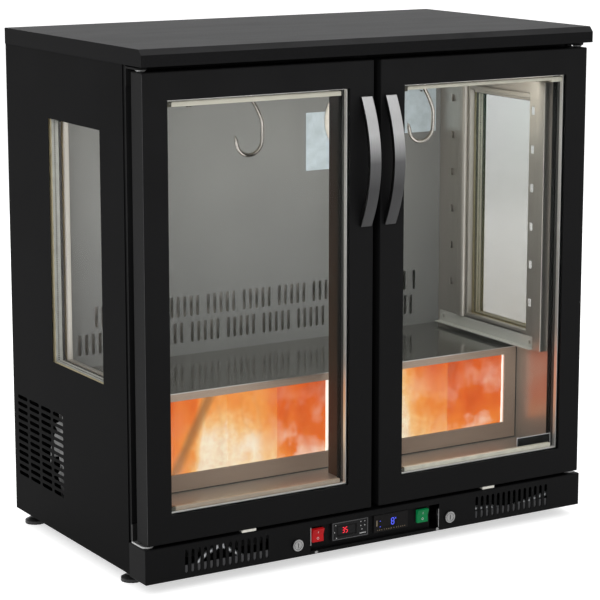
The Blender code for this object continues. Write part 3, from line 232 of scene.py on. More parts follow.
# finishes made from a table of values
def powderCoat(name, dark, light, rough, specular, grain=900, depth=0.00012, paintedLowLight=None):
    finish, tree, shader = newFinish(name, light, rough[0], 0, specular)
    where = cabinetCoords(tree)
    grains = addNoise(tree, where, grain, 2)
    tone = addRamp(tree, addNoise(tree, where, 7, 4, 0.6), ((0.3, dark), (0.75, light)))
    # painted light near the floor: below 0.75 m the tone runs to the paint's painted low tone, painted shade
    # on the black coats and a painted salt-glow reflection on the mullion and spacer bars
    if paintedLowLight:
        tone = addMix(tree, addFade(tree, where, 0.0, 0.75, 1.0, 0.0), tone, paintedLowLight)
    setLook(tree, shader, tone, addRange(tree, grains, *rough), grains, 0.35, depth)
    return finish


def brushedSheet(name, dark, light, rough, stretch, metallic=1.0, depth=0.00003):
    # sheet metal with fine lines across the stretched axes
    finish, tree, shader = newFinish(name, light, rough[0], metallic)
    lines = addNoise(tree, cabinetCoords(tree, stretch), 1, 4, 0.65)
    cloud = addNoise(tree, cabinetCoords(tree), 9, 3)
    tone = addMix(tree, addRange(tree, cloud, 0.0, 0.35),
                  addRamp(tree, lines, ((0.25, dark), (0.75, light))), dark)
    setLook(tree, shader, tone, addRange(tree, lines, *rough), lines, 0.3, depth)
    return finish


def mouldedPlastic(name, colour, roughness, grain=600, specular=0.5, glow=None, glowPower=0.0):
    finish, tree, shader = newFinish(name, colour, roughness, 0, specular)
    where = cabinetCoords(tree)
    dark = tuple(c * 0.8 for c in colour)
    tone = addRamp(tree, addNoise(tree, where, 60, 3), ((0.3, dark), (0.7, colour)))
    setLook(tree, shader, tone, None, addNoise(tree, where, grain, 2), 0.2, 0.00005)
    if glow:
        setInputs(shader, {"Emission Color": (*glow, 1), "Emission Strength": glowPower})
    return finish


def clearPane(name, tint, alpha, paintedWarmTint=None, paintedWarmAlpha=None):
    # clear glass: a faint tint with slow waves and a trace of cleaning marks in the gloss
    finish, tree, shader = newFinish(name, tint, 0.03, 0, 0.5)
    where = cabinetCoords(tree)
    smear = addNoise(tree, where, 3, 5, 0.6, 0.6)
    tone = addRamp(tree, smear, ((0.3, tuple(c * 0.9 for c in tint)), (0.7, tint)))
    # painted warm light: towards the foot of the pane the tint and alpha run to a painted warm tone
    if paintedWarmTint:
        tone = addMix(tree, addFade(tree, where, 0.33, 0.75, 1.0, 0.0), tone, paintedWarmTint)
        tree.links.new(addFade(tree, where, 0.33, 0.75, paintedWarmAlpha, alpha), shader.inputs["Alpha"])
    else:
        shader.inputs["Alpha"].default_value = alpha
    setLook(tree, shader, tone, addRange(tree, smear, 0.02, 0.07))
    return finish


# dark and light tone, roughness from and to, gloss, then grain, its depth and the tone near the floor, which
# is painted light: painted shade on the black coats, a painted reflection of the salt glow on the mullion
# and spacer bars
paints = {
    # the black coat turns darker near the floor: painted shade
    "blackPowderCoat": ((0.0058, 0.0058, 0.006), (0.0082, 0.0082, 0.0085), (0.45, 0.6), 0.06, 900, 0.00012,
                        (0.0028, 0.0028, 0.003)),
    # the side panels get a darker copy of the black coat: painted shade, darker still near the floor
    "sidePanelCoatPaintedShade": ((0.0036, 0.0036, 0.0038), (0.0052, 0.0052, 0.0055), (0.5, 0.62), 0.022, 900, 0.00012,
                      (0.0016, 0.0016, 0.0017)),
    "darkSheet": (grey(0.008), grey(0.014), (0.5, 0.65), 0.1),
    "coverCoat": ((0.185, 0.19, 0.187), (0.215, 0.222, 0.217), (0.32, 0.42), 0.4, 500, 0.00003),
    "hingePaint": (grey(0.006), grey(0.01), (0.5, 0.6), 0.05),
    # the mullion is near black; its brown towards the floor is a painted reflection of the salt glow
    "mullionBrown": ((0.005, 0.0045, 0.0045), (0.008, 0.007, 0.007), (0.4, 0.52), 0.09, 900, 0.00003,
                     (0.075, 0.038, 0.018)),
    # cream spacer bars; the brown towards the floor is a painted reflection of the salt glow
    "spacerBars": ((0.55, 0.53, 0.44), (0.62, 0.6, 0.5), (0.35, 0.45), 0.5, 1600, 0.00003,
                   (0.26, 0.19, 0.13)),
    "compressorEnamel": (grey(0.012), grey(0.03), (0.3, 0.45), 0.5),
}
# dark and light tone, roughness from and to, stretch of the lines, then metal share and line depth
sheets = {
    "brushedStainless": ((0.43, 0.41, 0.37), (0.61, 0.58, 0.52), (0.24, 0.36), (1500, 1500, 5), 0.8,
                         0.000006),
    "chamberSteel": ((0.46, 0.43, 0.39), (0.6, 0.57, 0.52), (0.24, 0.36), (1500, 1500, 5), 0.75, 0.000006),
    "runnerSteel": ((0.55, 0.56, 0.52), (0.7, 0.71, 0.66), (0.35, 0.5), (1500, 5, 1500), 0.45, 0.000006),
    "zincSheet": ((0.34, 0.35, 0.36), (0.52, 0.53, 0.54), (0.35, 0.5), (60, 60, 60), 0.9),
    "finAluminium": (grey(0.4), grey(0.6), (0.35, 0.5), (300, 300, 20), 0.9),
    "fanAluminium": (grey(0.3), grey(0.45), (0.3, 0.42), (200, 200, 200), 0.7),
    "polishedSteel": ((0.5, 0.47, 0.43), (0.68, 0.65, 0.6), (0.12, 0.24), (80, 80, 400)),
    "lockFace": (grey(0.2), grey(0.34), (0.3, 0.42), (300, 300, 300)),
    "brightSpacer": ((0.7, 0.69, 0.66), (0.86, 0.85, 0.82), (0.25, 0.4), (1500, 1500, 5), 0.8, 0.000005),
}
# colour and roughness, then grain, gloss, and the colour and strength of its own light, which on the white
# wall cover is a painted glow
plastics = {
    "foamCore": ((0.72, 0.63, 0.4), 0.9, 300),
    "gasketRubber": (grey(0.012), 0.6, 800, 0.3),
    "footPlastic": (grey(0.012), 0.45, 700, 0.4),
    "capZinc": (grey(0.5), 0.4),
    "spacerCream": ((0.6, 0.58, 0.48), 0.4, 1600),
    "spacerGrey": ((0.33, 0.335, 0.31), 0.4, 1600),
    "spacerSeal": ((0.03, 0.03, 0.028), 0.5),
    "oliveKey": ((0.05, 0.045, 0.025), 0.45),
    "whitePlastic": ((0.75, 0.73, 0.66), 0.35),
    # the white wall cover is no lamp: its light is a painted glow
    "coverWhite": ((0.8, 0.76, 0.68), 0.35, 600, 0.5, (1, 0.95, 0.86), 0.12),
    "palePlate": ((0.55, 0.64, 0.7), 0.4),
    "controllerBlack": ((0.006, 0.0055, 0.0055), 0.5, 600, 0.08),
    "controllerGrey": ((0.009, 0.009, 0.0095), 0.5, 600, 0.1),
    "outlineGrey": ((0.06, 0.06, 0.063), 0.4),
    "trayGrey": ((0.07, 0.07, 0.073), 0.6, 600, 0.1),
    "edgeLight": ((0.16, 0.16, 0.165), 0.4),
    # a lighter grey for the wire along the left door's edge: a painted highlight
    "edgeDim": ((0.035, 0.035, 0.036), 0.5, 600, 0.2),
    "redRocker": ((0.26, 0.005, 0.007), 0.4, 300, 0.12, (0.8, 0.01, 0.012), 0.2),
    "greenRocker": ((0.003, 0.11, 0.035), 0.4, 300, 0.1, (0.002, 0.5, 0.14), 0.13),
    "redDigits": ((0.6, 0.01, 0.02), 0.4, 300, 0.3, (1, 0.02, 0.05), 0.9),
    "blueDigits": ((0.05, 0.06, 0.5), 0.4, 300, 0.3, (0.08, 0.12, 1), 0.9),
    "markWhite": (grey(0.6), 0.5),
    "markGold": ((0.2, 0.15, 0.09), 0.5),
    "ledDiffuser": ((0.8, 0.78, 0.7), 0.4, 300, 0.4, (1, 0.96, 0.86), 0.8),
}
# tint and alpha, then tint and alpha of painted warm light near the foot of the pane
panes = {
    "clearPane": ((0.05, 0.06, 0.055), 0.03),
    "leftPane": ((0.07, 0.055, 0.045), 0.025),
    "rightPane": ((0.03, 0.09, 0.06), 0.16, (0.24, 0.2, 0.08), 0.29),
}


# finishes that need code of their own
def housingSteel():
    # the salt housing: its top is polished and mirrors the chamber, its front is satin, and its warmer
    # colour there is a painted reflection of the salt glow
    finish, tree, shader = newFinish("saltHousingSteelPaintedGlow", (0.36, 0.33, 0.28), 0.3, 0.85)
    upward = addRange(tree, facing(tree, "Z"), 0, 1, 0.4, 0.6)
    lines = addNoise(tree, cabinetCoords(tree, (5, 1500, 1500)), 1, 4, 0.65)
    top = addRamp(tree, lines, ((0.3, (0.36, 0.35, 0.32)), (0.7, (0.44, 0.43, 0.4))))
    # painted reflection of the salt glow: a warmer tone on the faces that look forward
    front = addRamp(tree, lines, ((0.3, (0.44, 0.33, 0.25)), (0.7, (0.55, 0.43, 0.34))))
    setLook(tree, shader, addMix(tree, upward, front, top), addRange(tree, upward, 0.5, 0.15), lines, 0.3,
            0.000003)
    tree.links.new(addRange(tree, upward, 0.35, 0.95), shader.inputs["Metallic"])
    return finish


def worktopFinish():
    # coated worktop: a streaky top painted lighter than the edges, whose darker tone is painted shade
    finish, tree, shader = newFinish("worktopCoatPaintedLight", grey(0.02), 0.6, 0, 0.08)
    upward = addRange(tree, facing(tree, "Z"), 0, 1, 0.3, 0.9)
    streaks = addNoise(tree, cabinetCoords(tree, (1.2, 5, 1)), 5, 6, 0.68, 0.5)
    grains = addNoise(tree, cabinetCoords(tree), 420, 2)
    top = addRamp(tree, streaks, ((0.3, (0.021, 0.021, 0.0215)), (0.7, (0.037, 0.037, 0.038))))
    edge = addRamp(tree, grains, ((0.3, (0.0065, 0.0065, 0.0068)), (0.7, (0.0095, 0.0095, 0.0099))))
    setLook(tree, shader, addMix(tree, upward, edge, top), addRange(tree, grains, 0.5, 0.7), grains, 0.35,
            0.0001)
    # painted sheen: more gloss on the top than on the edges
    tree.links.new(addRange(tree, upward, 0.03, 0.09), shader.inputs["Specular IOR Level"])
    return finish


def handleFinish():
    # brushed steel with painted light: its tone runs from dark ends to a painted light band above the
    # middle, with painted shade on its flanks
    finish, tree, shader = newFinish("handleSteelPaintedLight", grey(0.3), 0.36, 0.75)
    low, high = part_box("door_handle_left")
    # painted light along the height: dark ends and a painted light band above the middle
    tone = addRamp(tree, addFade(tree, cabinetCoords(tree), low.z, high.z, 0, 1), (
        (0.0, (0.035, 0.035, 0.036)), (0.3, (0.035, 0.035, 0.036)), (0.5, (0.095, 0.095, 0.097)),
        (0.72, 0.52), (0.82, 0.52), (1.0, 0.62)))
    lines = addNoise(tree, cabinetCoords(tree, (1200, 300, 8)), 1, 3, 0.6)
    brushed = addMix(tree, addRange(tree, lines, 0.0, 0.3), tone, grey(0.06))
    # painted shade on the flanks that face sideways
    paintedFlankShade = addRamp(tree, addMath(tree, "ABSOLUTE", facing(tree, "X")), ((0.7, 0), (0.92, 1)))
    setLook(tree, shader, addMix(tree, paintedFlankShade, brushed, grey(0.012)), addRange(tree, lines, 0.3, 0.45),
            lines, 0.3, 0.000006)
    return finish


def lowerHingeFinish():
    # a bright plate on a dark leg
    finish, tree, shader = newFinish("lowerHinge", grey(0.4), 0.42, 0.5)
    where = cabinetCoords(tree)
    grains = addNoise(tree, where, 300, 2)
    bright = addRamp(tree, grains, ((0.3, 0.36), (0.7, 0.52)))
    plate = addFade(tree, where, 0.0826, 0.0832, 1.0, 0.0)
    setLook(tree, shader, addMix(tree, plate, grey(0.012), bright), addRange(tree, grains, 0.35, 0.5))
    return finish


# shares along the wall with a level, and tones from deep orange to nearly white
saltLook = {
    "blockLevels": ((0.0, 0.42), (0.1215, 0.42), (0.1225, 0.46), (0.17, 0.5), (0.19, 0.9), (0.2505, 0.84),
                    (0.2515, 0.78), (0.345, 0.72), (0.3765, 0.56), (0.3775, 0.36), (0.5035, 0.3),
                    (0.5045, 0.5), (0.6765, 0.6), (0.6775, 0.84), (0.72, 0.74), (0.78, 0.52),
                    (0.8305, 0.5), (0.8315, 0.3), (1.0, 0.36)),
    "litShares": ((0.155, 0.1), (0.2, 0.9), (0.31, 1.0), (0.345, 0.15), (0.38, 0.3), (0.4, 0.8), (0.45, 0.5),
                  (0.5, 0.7), (0.66, 0.5), (0.7, 1.0), (0.74, 0.5), (0.8, 0.15), (0.84, 0.3), (0.9, 0.8),
                  (1.0, 0.5)),
    "tones": ((0.0, (0.5, 0.055, 0.006)), (0.2, (0.74, 0.11, 0.015)), (0.4, (0.85, 0.2, 0.028)),
              (0.6, (0.93, 0.36, 0.08)), (0.78, (0.98, 0.6, 0.25)), (0.95, (1.0, 0.87, 0.62))),
    "freckle": (0.72, 0.17, 0.03), "vein": (0.25, 0.07, 0.02), "hot": (1.0, 0.92, 0.76),
    "unlit": (0.03, 0.008, 0.002),
    "streak": (0.24, 0.12, 0.05), "streakAt": 0.134, "streakHalf": 0.017, "lean": (0.88, 0, -0.47),
}


def saltFinish():
    # backlit rock salt: every block has its own tone, white hot spots low down, brown veins, one dark streak
    finish, tree, shader = newFinish("rockSalt", (0.9, 0.5, 0.25), 0.45)
    where = cabinetCoords(tree)
    low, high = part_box("salt_wall")
    along = addRange(tree, axisOf(tree, where, "X"), 0, 1, low.x, high.x)
    cloud = addNoise(tree, cabinetCoords(tree, (1, 1, 0.6)), 11, 8, 0.62, 0.3)
    paler = addMath(tree, "ADD", addRamp(tree, along, saltLook["blockLevels"]),
                    addFade(tree, where, low.z, high.z, 0.16, -0.2))
    level = addMath(tree, "ADD", addRange(tree, cloud, -0.5, 0.5), paler)
    tone = addRamp(tree, level, saltLook["tones"])
    fine = addNoise(tree, where, 90, 7, 0.7, 0.3)
    tone = addMix(tree, addRange(tree, fine, -0.4, 0.6), tone, saltLook["freckle"])
    veins = addNoise(tree, cabinetCoords(tree, (1, 1, 0.45)), 7, 2, 0.5, 1.5)
    veins = addRamp(tree, veins, ((0.47, 0), (0.5, 1), (0.53, 0)))
    tone = addMix(tree, addRange(tree, veins, 0.0, 0.08), tone, saltLook["vein"])
    slope = tree.nodes.new("ShaderNodeVectorMath")
    slope.operation = "DOT_PRODUCT"
    slope.inputs[1].default_value = saltLook["lean"]
    tree.links.new(where, slope.inputs[0])
    leanX, _, leanZ = saltLook["lean"]
    streakSpot = leanX * (low.x + saltLook["streakAt"]) + leanZ * (low.z + high.z) / 2
    streak = addRange(tree, slope.outputs["Value"], 0.0, 1.0, streakSpot - saltLook["streakHalf"],
                      streakSpot + saltLook["streakHalf"])
    streak = addRamp(tree, streak, ((0.1, 0), (0.4, 0.75), (0.6, 0.65), (0.9, 0)))
    tone = addMix(tree, streak, tone, saltLook["streak"])
    hot = addRamp(tree, addNoise(tree, where, 14, 3, 0.5, 0.2), ((0.48, 0), (0.64, 1)))
    hot = addMath(tree, "MULTIPLY", hot, addFade(tree, where, low.z, high.z, 1.0, 0.1))
    hot = addMath(tree, "MULTIPLY", hot, addRamp(tree, along, saltLook["litShares"]))
    tree.links.new(addMix(tree, hot, tone, saltLook["hot"]), shader.inputs["Emission Color"])
    setInputs(shader, {"Emission Strength": 1.0, "Specular IOR Level": 0.06})
    setLook(tree, shader, addMix(tree, 0.97, tone, saltLook["unlit"]), None, fine, 0.3, 0.0004)
    return finish


finishes = {}
for recipe, table in ((powderCoat, paints), (brushedSheet, sheets), (mouldedPlastic, plastics),
                      (clearPane, panes)):
    for name, values in table.items():
        finishes[name] = recipe(name, *values)
for recipe in (handleFinish, worktopFinish, lowerHingeFinish, housingSteel, saltFinish):
    made = recipe()
    finishes[made.name] = made

# the finish of each solid, by the start of its name
solidFinishes = (
    ("worktop", "worktopCoatPaintedLight"), ("side_panel", "sidePanelCoatPaintedShade"), ("rear_panel", "blackPowderCoat"),
    ("base_plate", "darkSheet"), ("base_panel", "blackPowderCoat"), ("front_frame", "blackPowderCoat"),
    ("insulation", "foamCore"), ("inner_liner", "chamberSteel"), ("centre_mullion", "mullionBrown"),
    ("evaporator_cover", "coverCoat"), ("evaporator_fan", "fanAluminium"), ("evaporator", "finAluminium"),
    ("sensor_cover", "whitePlastic"), ("hanging_rail", "brushedStainless"), ("hook", "polishedSteel"),
    ("pilaster", "brushedStainless"), ("shelf_runner", "runnerSteel"), ("salt_frame", "saltHousingSteelPaintedGlow"),
    ("salt_wall", "rockSalt"), ("salt_backlight", "ledDiffuser"), ("lamp", "ledDiffuser"),
    ("control_plate", "blackPowderCoat"), ("humidity_controller", "controllerGrey"),
    ("temperature_controller", "controllerBlack"), ("rocker_red", "redRocker"),
    ("rocker_green", "greenRocker"), ("lock", "lockFace"), ("compressor", "compressorEnamel"),
    ("condenser_fan", "fanAluminium"),
    ("condenser", "finAluminium"), ("foot", "footPlastic"), ("hinge_upper", "hingePaint"),
    ("hinge_lower", "lowerHinge"), ("door_frame", "blackPowderCoat"), ("door_gasket", "gasketRubber"),
    ("door_handle", "handleSteelPaintedLight"), ("door_glass", "clearPane"), ("side_glass_outer_left", "leftPane"),
    ("side_glass_inner_left", "leftPane"), ("side_glass", "rightPane"),
)
for name, node in cadNodes.items():
    node.data.materials.clear()
    node.data.materials.append(
        finishes[next(finish for start, finish in solidFinishes if name.startswith(start))])
print("finishes on the solids")


# meshes
meshStyle = {"bevelSteps": 2, "bevelAngle": 40, "wireSteps": 4, "tipGrowth": 0.25}


def addBlock(bm, low, high):
    for vert in bmesh.ops.create_cube(bm, size=1)["verts"]:
        vert.co = Vector([low[i] if vert.co[i] < 0 else high[i] for i in range(3)])


def blockMesh(*blocks):
    bm = bmesh.new()
    for low, high in blocks:
        addBlock(bm, low, high)
    return bm


def axisSpot(axis, depth, a, b):
    # a point from its depth along one axis and its place on the two others
    spot = [a, b]
    spot.insert(axis, depth)
    return spot


def rectOf(x0, z0, x1, z1):
    return [(x0, z0), (x1, z0), (x1, z1), (x0, z1)]


def grown(box, by):
    return (box[0] - by, box[1] - by, box[2] + by, box[3] + by)


def circleOf(centre, radius, steps):
    turns = [2 * pi * i / steps for i in range(steps)]
    return [(centre[0] + radius * cos(a), centre[1] + radius * sin(a)) for a in turns]


def bridgeRims(bm, near, far):
    for i in range(len(near)):
        k = (i + 1) % len(near)
        bm.faces.new((near[i], near[k], far[k], far[i]))


def addLoft(bm, outlines, depths, axis):
    # rims of points on the two other axes, joined in turn and closed at both ends
    rims = [[bm.verts.new(axisSpot(axis, depth, a, b)) for a, b in outline]
            for outline, depth in zip(outlines, depths)]
    for near, far in zip(rims, rims[1:]):
        bridgeRims(bm, near, far)
    bm.faces.new(rims[0])
    bm.faces.new(rims[-1])
    return bm


def addPlate(bm, outline, span, axis):
    return addLoft(bm, (outline, outline), span, axis)


def addDisc(bm, centre, radius, span, axis, steps=24, taper=1.0):
    # short turned disc, its near end narrower by taper
    rims = (circleOf(centre, radius * taper, steps), circleOf(centre, radius, steps))
    return addLoft(bm, rims, span, axis)


def addRing(bm, outer, inner, span, axis):
    # rectangular ring with mitred corners
    rims = [[bm.verts.new(axisSpot(axis, depth, a, b)) for a, b in rectOf(*box)]
            for box in (outer, inner) for depth in span]
    for near, far in ((0, 1), (1, 3), (3, 2), (2, 0)):
        bridgeRims(bm, rims[near], rims[far])
    return bm


def addGridSheet(bm, cutsA, cutsB, isHole, span, axis):
    # plate laid out on a grid of cuts, with the cells that isHole names left open
    spots = {}

    def corner(i, k, depth):
        if (i, k, depth) not in spots:
            spots[(i, k, depth)] = bm.verts.new(axisSpot(axis, span[depth], cutsA[i], cutsB[k]))
        return spots[(i, k, depth)]

    cells = {(i, k) for i in range(len(cutsA) - 1) for k in range(len(cutsB) - 1) if not isHole(i, k)}
    for i, k in cells:
        for depth in (0, 1):
            bm.faces.new([corner(*spot, depth) for spot in ((i, k), (i + 1, k), (i + 1, k + 1), (i, k + 1))])
        for beside, a, b in (((i - 1, k), (i, k), (i, k + 1)), ((i + 1, k), (i + 1, k), (i + 1, k + 1)),
                             ((i, k - 1), (i, k), (i + 1, k)), ((i, k + 1), (i, k + 1), (i + 1, k + 1))):
            if beside not in cells:
                bm.faces.new([corner(*a, 0), corner(*b, 0), corner(*b, 1), corner(*a, 1)])
    return bm


def addPiece(name, bm, body, finish, edge=0.0, smoothAngle=None):
    bmesh.ops.recalc_face_normals(bm, faces=bm.faces)
    mesh = bpy.data.meshes.new(name)
    bm.to_mesh(mesh)
    bm.free()
    piece = bpy.data.objects.new(name, mesh)
    scene.collection.objects.link(piece)
    mesh.materials.append(finishes[finish])
    if edge:
        softened = piece.modifiers.new("softEdge", "BEVEL")
        softened.width = edge
        softened.segments = meshStyle["bevelSteps"]
        softened.limit_method = "ANGLE"
        softened.angle_limit = radians(meshStyle["bevelAngle"])
        softened.harden_normals = False
    if smoothAngle:
        mesh.shade_smooth()
        mesh.set_sharp_from_angle(angle=radians(smoothAngle))
    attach(piece, body)
    return piece


def addWire(name, points, radius, body, finish, tips=(1.0, 1.0)):
    # round wire through the points, thinned towards its ends by tips
    curve = bpy.data.curves.new(name, "CURVE")
    curve.dimensions = "3D"
    curve.bevel_depth = radius
    curve.bevel_resolution = meshStyle["wireSteps"]
    curve.use_fill_caps = True
    line = curve.splines.new("POLY")
    line.points.add(len(points) - 1)
    for i, (point, spot) in enumerate(zip(line.points, points)):
        point.co = (*spot, 1)
        growth = meshStyle["tipGrowth"]
        point.radius = min(1, tips[0] + i * growth, tips[1] + (len(points) - 1 - i) * growth)
    line.use_smooth = True
    curve.materials.append(finishes[finish])
    wire = bpy.data.objects.new(name, curve)
    scene.collection.objects.link(wire)
    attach(wire, body)
    return wire


def smoothPath(corners, steps):
    # curve through the corner points, with a few points between each pair
    points = [Vector(p) for p in [corners[0], *corners, corners[-1]]]
    path = []
    for a, b, c, d in zip(points, points[1:], points[2:], points[3:]):
        for t in [i / steps for i in range(steps)]:
            path.append(0.5 * (2 * b + (c - a) * t + (2 * a - 5 * b + 4 * c - d) * t * t
                               + (3 * b - a - 3 * c + d) * t ** 3))
    path.append(points[-1])
    return path


# door glazing: a thin rim with its seal, a cream bar along head and foot, end keys
doorGlazing = {
    "cover": 0.009,        # the pane reaches this far under the frame
    "slack": 0.0002, "clearance": 0.0003, "soft": 0.0003,
    "rim": (0.001, 0.0032, 0.002, 0.0015),     # how far it shows: left, foot, right, head
    "rimDepth": 0.0078, "sealStep": 0.0003,
    "bar": 0.008, "barInset": 0.0036, "keyLength": 0.0103, "endGap": 0.0127,
    "barSoft": 0.0008, "keySoft": 0.0005,
    "clipSpots": (0.041, 0.047), "clip": 0.0022, "clipInset": 0.002,
    "endBlock": 0.014, "thinner": 0.002, "endDrop": 0.001,      # the right door's head bar has an end block
    "barFinish": {"left": "spacerBars", "right": "spacerCream"},
}
for word, side in doorSides:
    form, body, gap = doorGlazing, word + "_door", doorGlazing["clearance"]
    frontLow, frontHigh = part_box("door_glass_front_" + word)
    rearLow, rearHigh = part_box("door_glass_rear_" + word)
    spanY = (frontHigh.y + gap, rearLow.y - gap)
    rimY = spanY[0] + form["rimDepth"]
    opening = grown((frontLow.x, frontLow.z, frontHigh.x, frontHigh.z), -form["cover"])
    x0, z0, x1, z1 = opening
    left, foot, right, head = form["rim"]
    edge = grown(opening, -form["slack"])
    rimEdge, sealEdge = [(x0 + left - less, z0 + foot - less, x1 - right + less, z1 - head + less)
                         for less in (0, form["sealStep"])]
    addPiece("door_spacer_" + word, addRing(bmesh.new(), edge, rimEdge, (spanY[0], rimY), 1),
             body, "brightSpacer", form["soft"], 40)
    addPiece("door_spacer_seal_" + word, addRing(bmesh.new(), edge, sealEdge, (rimY + gap, spanY[1]), 1),
             body, "spacerSeal", form["soft"])
    bars, keys = bmesh.new(), bmesh.new()
    barX = (x0 + left + gap + form["keyLength"], x1 - form["endGap"])
    headZ = z1 - form["barInset"] - form["bar"]
    for lowZ in (z0 + form["barInset"], headZ):
        highZ, barEnd, barFoot = lowZ + form["bar"], barX[1], lowZ
        if word == "right" and lowZ == headZ:
            barEnd, barFoot = barX[1] - form["endBlock"], lowZ + form["thinner"]
        addBlock(bars, (barX[0], spanY[0], barFoot), (barEnd, rimY, highZ))
        if barEnd < barX[1]:
            addBlock(bars, (barEnd + gap, spanY[0], lowZ - form["endDrop"]), (x1 - right - gap, rimY, highZ))
        addBlock(keys, (x0 + left + gap, spanY[0], lowZ), (barX[0] - gap, rimY, highZ))
    for spot in form["clipSpots"]:
        addBlock(keys, (x0 + spot, spanY[0] + form["clipInset"], headZ - gap - form["clip"]),
                 (x0 + spot + form["clip"], rimY - form["clipInset"], headZ - gap))
    addPiece("door_spacer_bars_" + word, bars, body, form["barFinish"][word], form["barSoft"],
             40)
    addPiece("door_corner_keys_" + word, keys, body, "oliveKey", form["keySoft"])
print("door glazing")

# side windows: perforated spacer, seals and the inner frame
sideGlazing = {
    "cover": 0.009, "face": 0.0014, "slack": 0.0002, "clearance": 0.0003, "soft": 0.0003,
    "seal": 0.0046, "outerSeal": {"left": 0.0, "right": 0.0028},   # depths beside the two panes
    "sealStep": 0.0004, "outerSealStep": 0.0002,
    "spacerFinish": {"left": "spacerGrey", "right": "spacerCream"},
    "holePitch": 0.0034, "holeWide": 0.0018, "holeStart": 0.8, "holeRow": (0.0042, 0.0068),
    "holeLift": (0.00005, 0.0002),
    "frameFace": 0.0092,   # how far the inner frame stands into the chamber
    "frameGap": 0.0013, "frameLap": 0.014, "lowLap": 0.006, "rearLap": {"left": 0.0012, "right": 0.0058},
    "frameLip": 0.0006, "frameSoft": 0.0012, "legInset": 0.003, "slotHead": 0.0055,
}
for word, side in doorSides:
    form, gap = sideGlazing, sideGlazing["clearance"]
    lap, face = sideGlazing["frameLap"], sideGlazing["face"]
    outLow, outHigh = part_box("side_glass_outer_" + word)
    inLow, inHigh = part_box("side_glass_inner_" + word)
    outerX = min(abs(outLow.x), abs(outHigh.x)) - gap
    innerX = max(abs(inLow.x), abs(inHigh.x)) + gap
    view = grown((outLow.y, outLow.z, outHigh.y, outHigh.z), -form["cover"])
    sealX = innerX + form["seal"]
    spacerX = outerX - form["outerSeal"][word]
    parts = [("window_spacer_", sealX + gap, spacerX - gap, "aluminium", form["spacerFinish"][word], face),
             ("window_spacer_seal_", innerX, sealX, "rubber", "spacerSeal", face + form["sealStep"])]
    if form["outerSeal"][word]:
        parts.append(("window_outer_seal_", spacerX, outerX, "rubber", "spacerSeal",
                      face + form["outerSealStep"]))
    for label, near, far, slotName, finish, shown in parts:
        addPiece(label + word, addRing(bmesh.new(), grown(view, -form["slack"]), grown(view, -shown),
                                       sorted((side * near, side * far)), 0),
                 "cabinet", finish, form["soft"], 40)
    holes, pitch, wide, (near, far) = bmesh.new(), form["holePitch"], form["holeWide"], form["holeLift"]
    rowX = sorted(side * (spacerX - depth) for depth in form["holeRow"])
    for i in range(int((view[3] - view[1]) / pitch) - 1):
        z = view[1] + pitch * (i + form["holeStart"])
        addBlock(holes, (rowX[0], view[2] - face - far, z), (rowX[1], view[2] - face - near, z + wide))
    for i in range(int((view[2] - view[0]) / pitch) - 1):
        y = view[0] + pitch * (i + form["holeStart"])
        addBlock(holes, (rowX[0], y, view[1] + face + near), (rowX[1], y + wide, view[1] + face + far))
    addPiece("window_spacer_holes_" + word, holes, "cabinet", "spacerSeal")
    wall = min(abs(inLow.x), abs(inHigh.x)) - form["frameGap"]
    outer = (view[0] - lap, view[1] - form["lowLap"], view[2] + form["rearLap"][word], view[3] + lap)
    span = sorted((side * (wall - form["frameFace"]), side * (wall - gap)))
    if word == "left":
        innerFrame = addRing(bmesh.new(), outer, grown(view, -form["frameLip"]), span, 0)
    else:              # its front leg hides behind the front pilaster, and the slots show daylight
        lipY, lipZ = view[2] - form["frameLip"], view[1] + form["frameLip"]
        legY, topZ = view[0] + form["legInset"], view[3] + form["slotHead"]
        innerFrame = addPlate(bmesh.new(), [(legY, outer[1]), (outer[2], outer[1]), (outer[2], outer[3]),
                                            (legY, outer[3]), (legY, topZ), (lipY, topZ), (lipY, lipZ),
                                            (legY, lipZ)], span, 0)
    addPiece("window_inner_frame_" + word, innerFrame, "cabinet", "brushedStainless",
             form["frameSoft"], 40)
print("side windows")

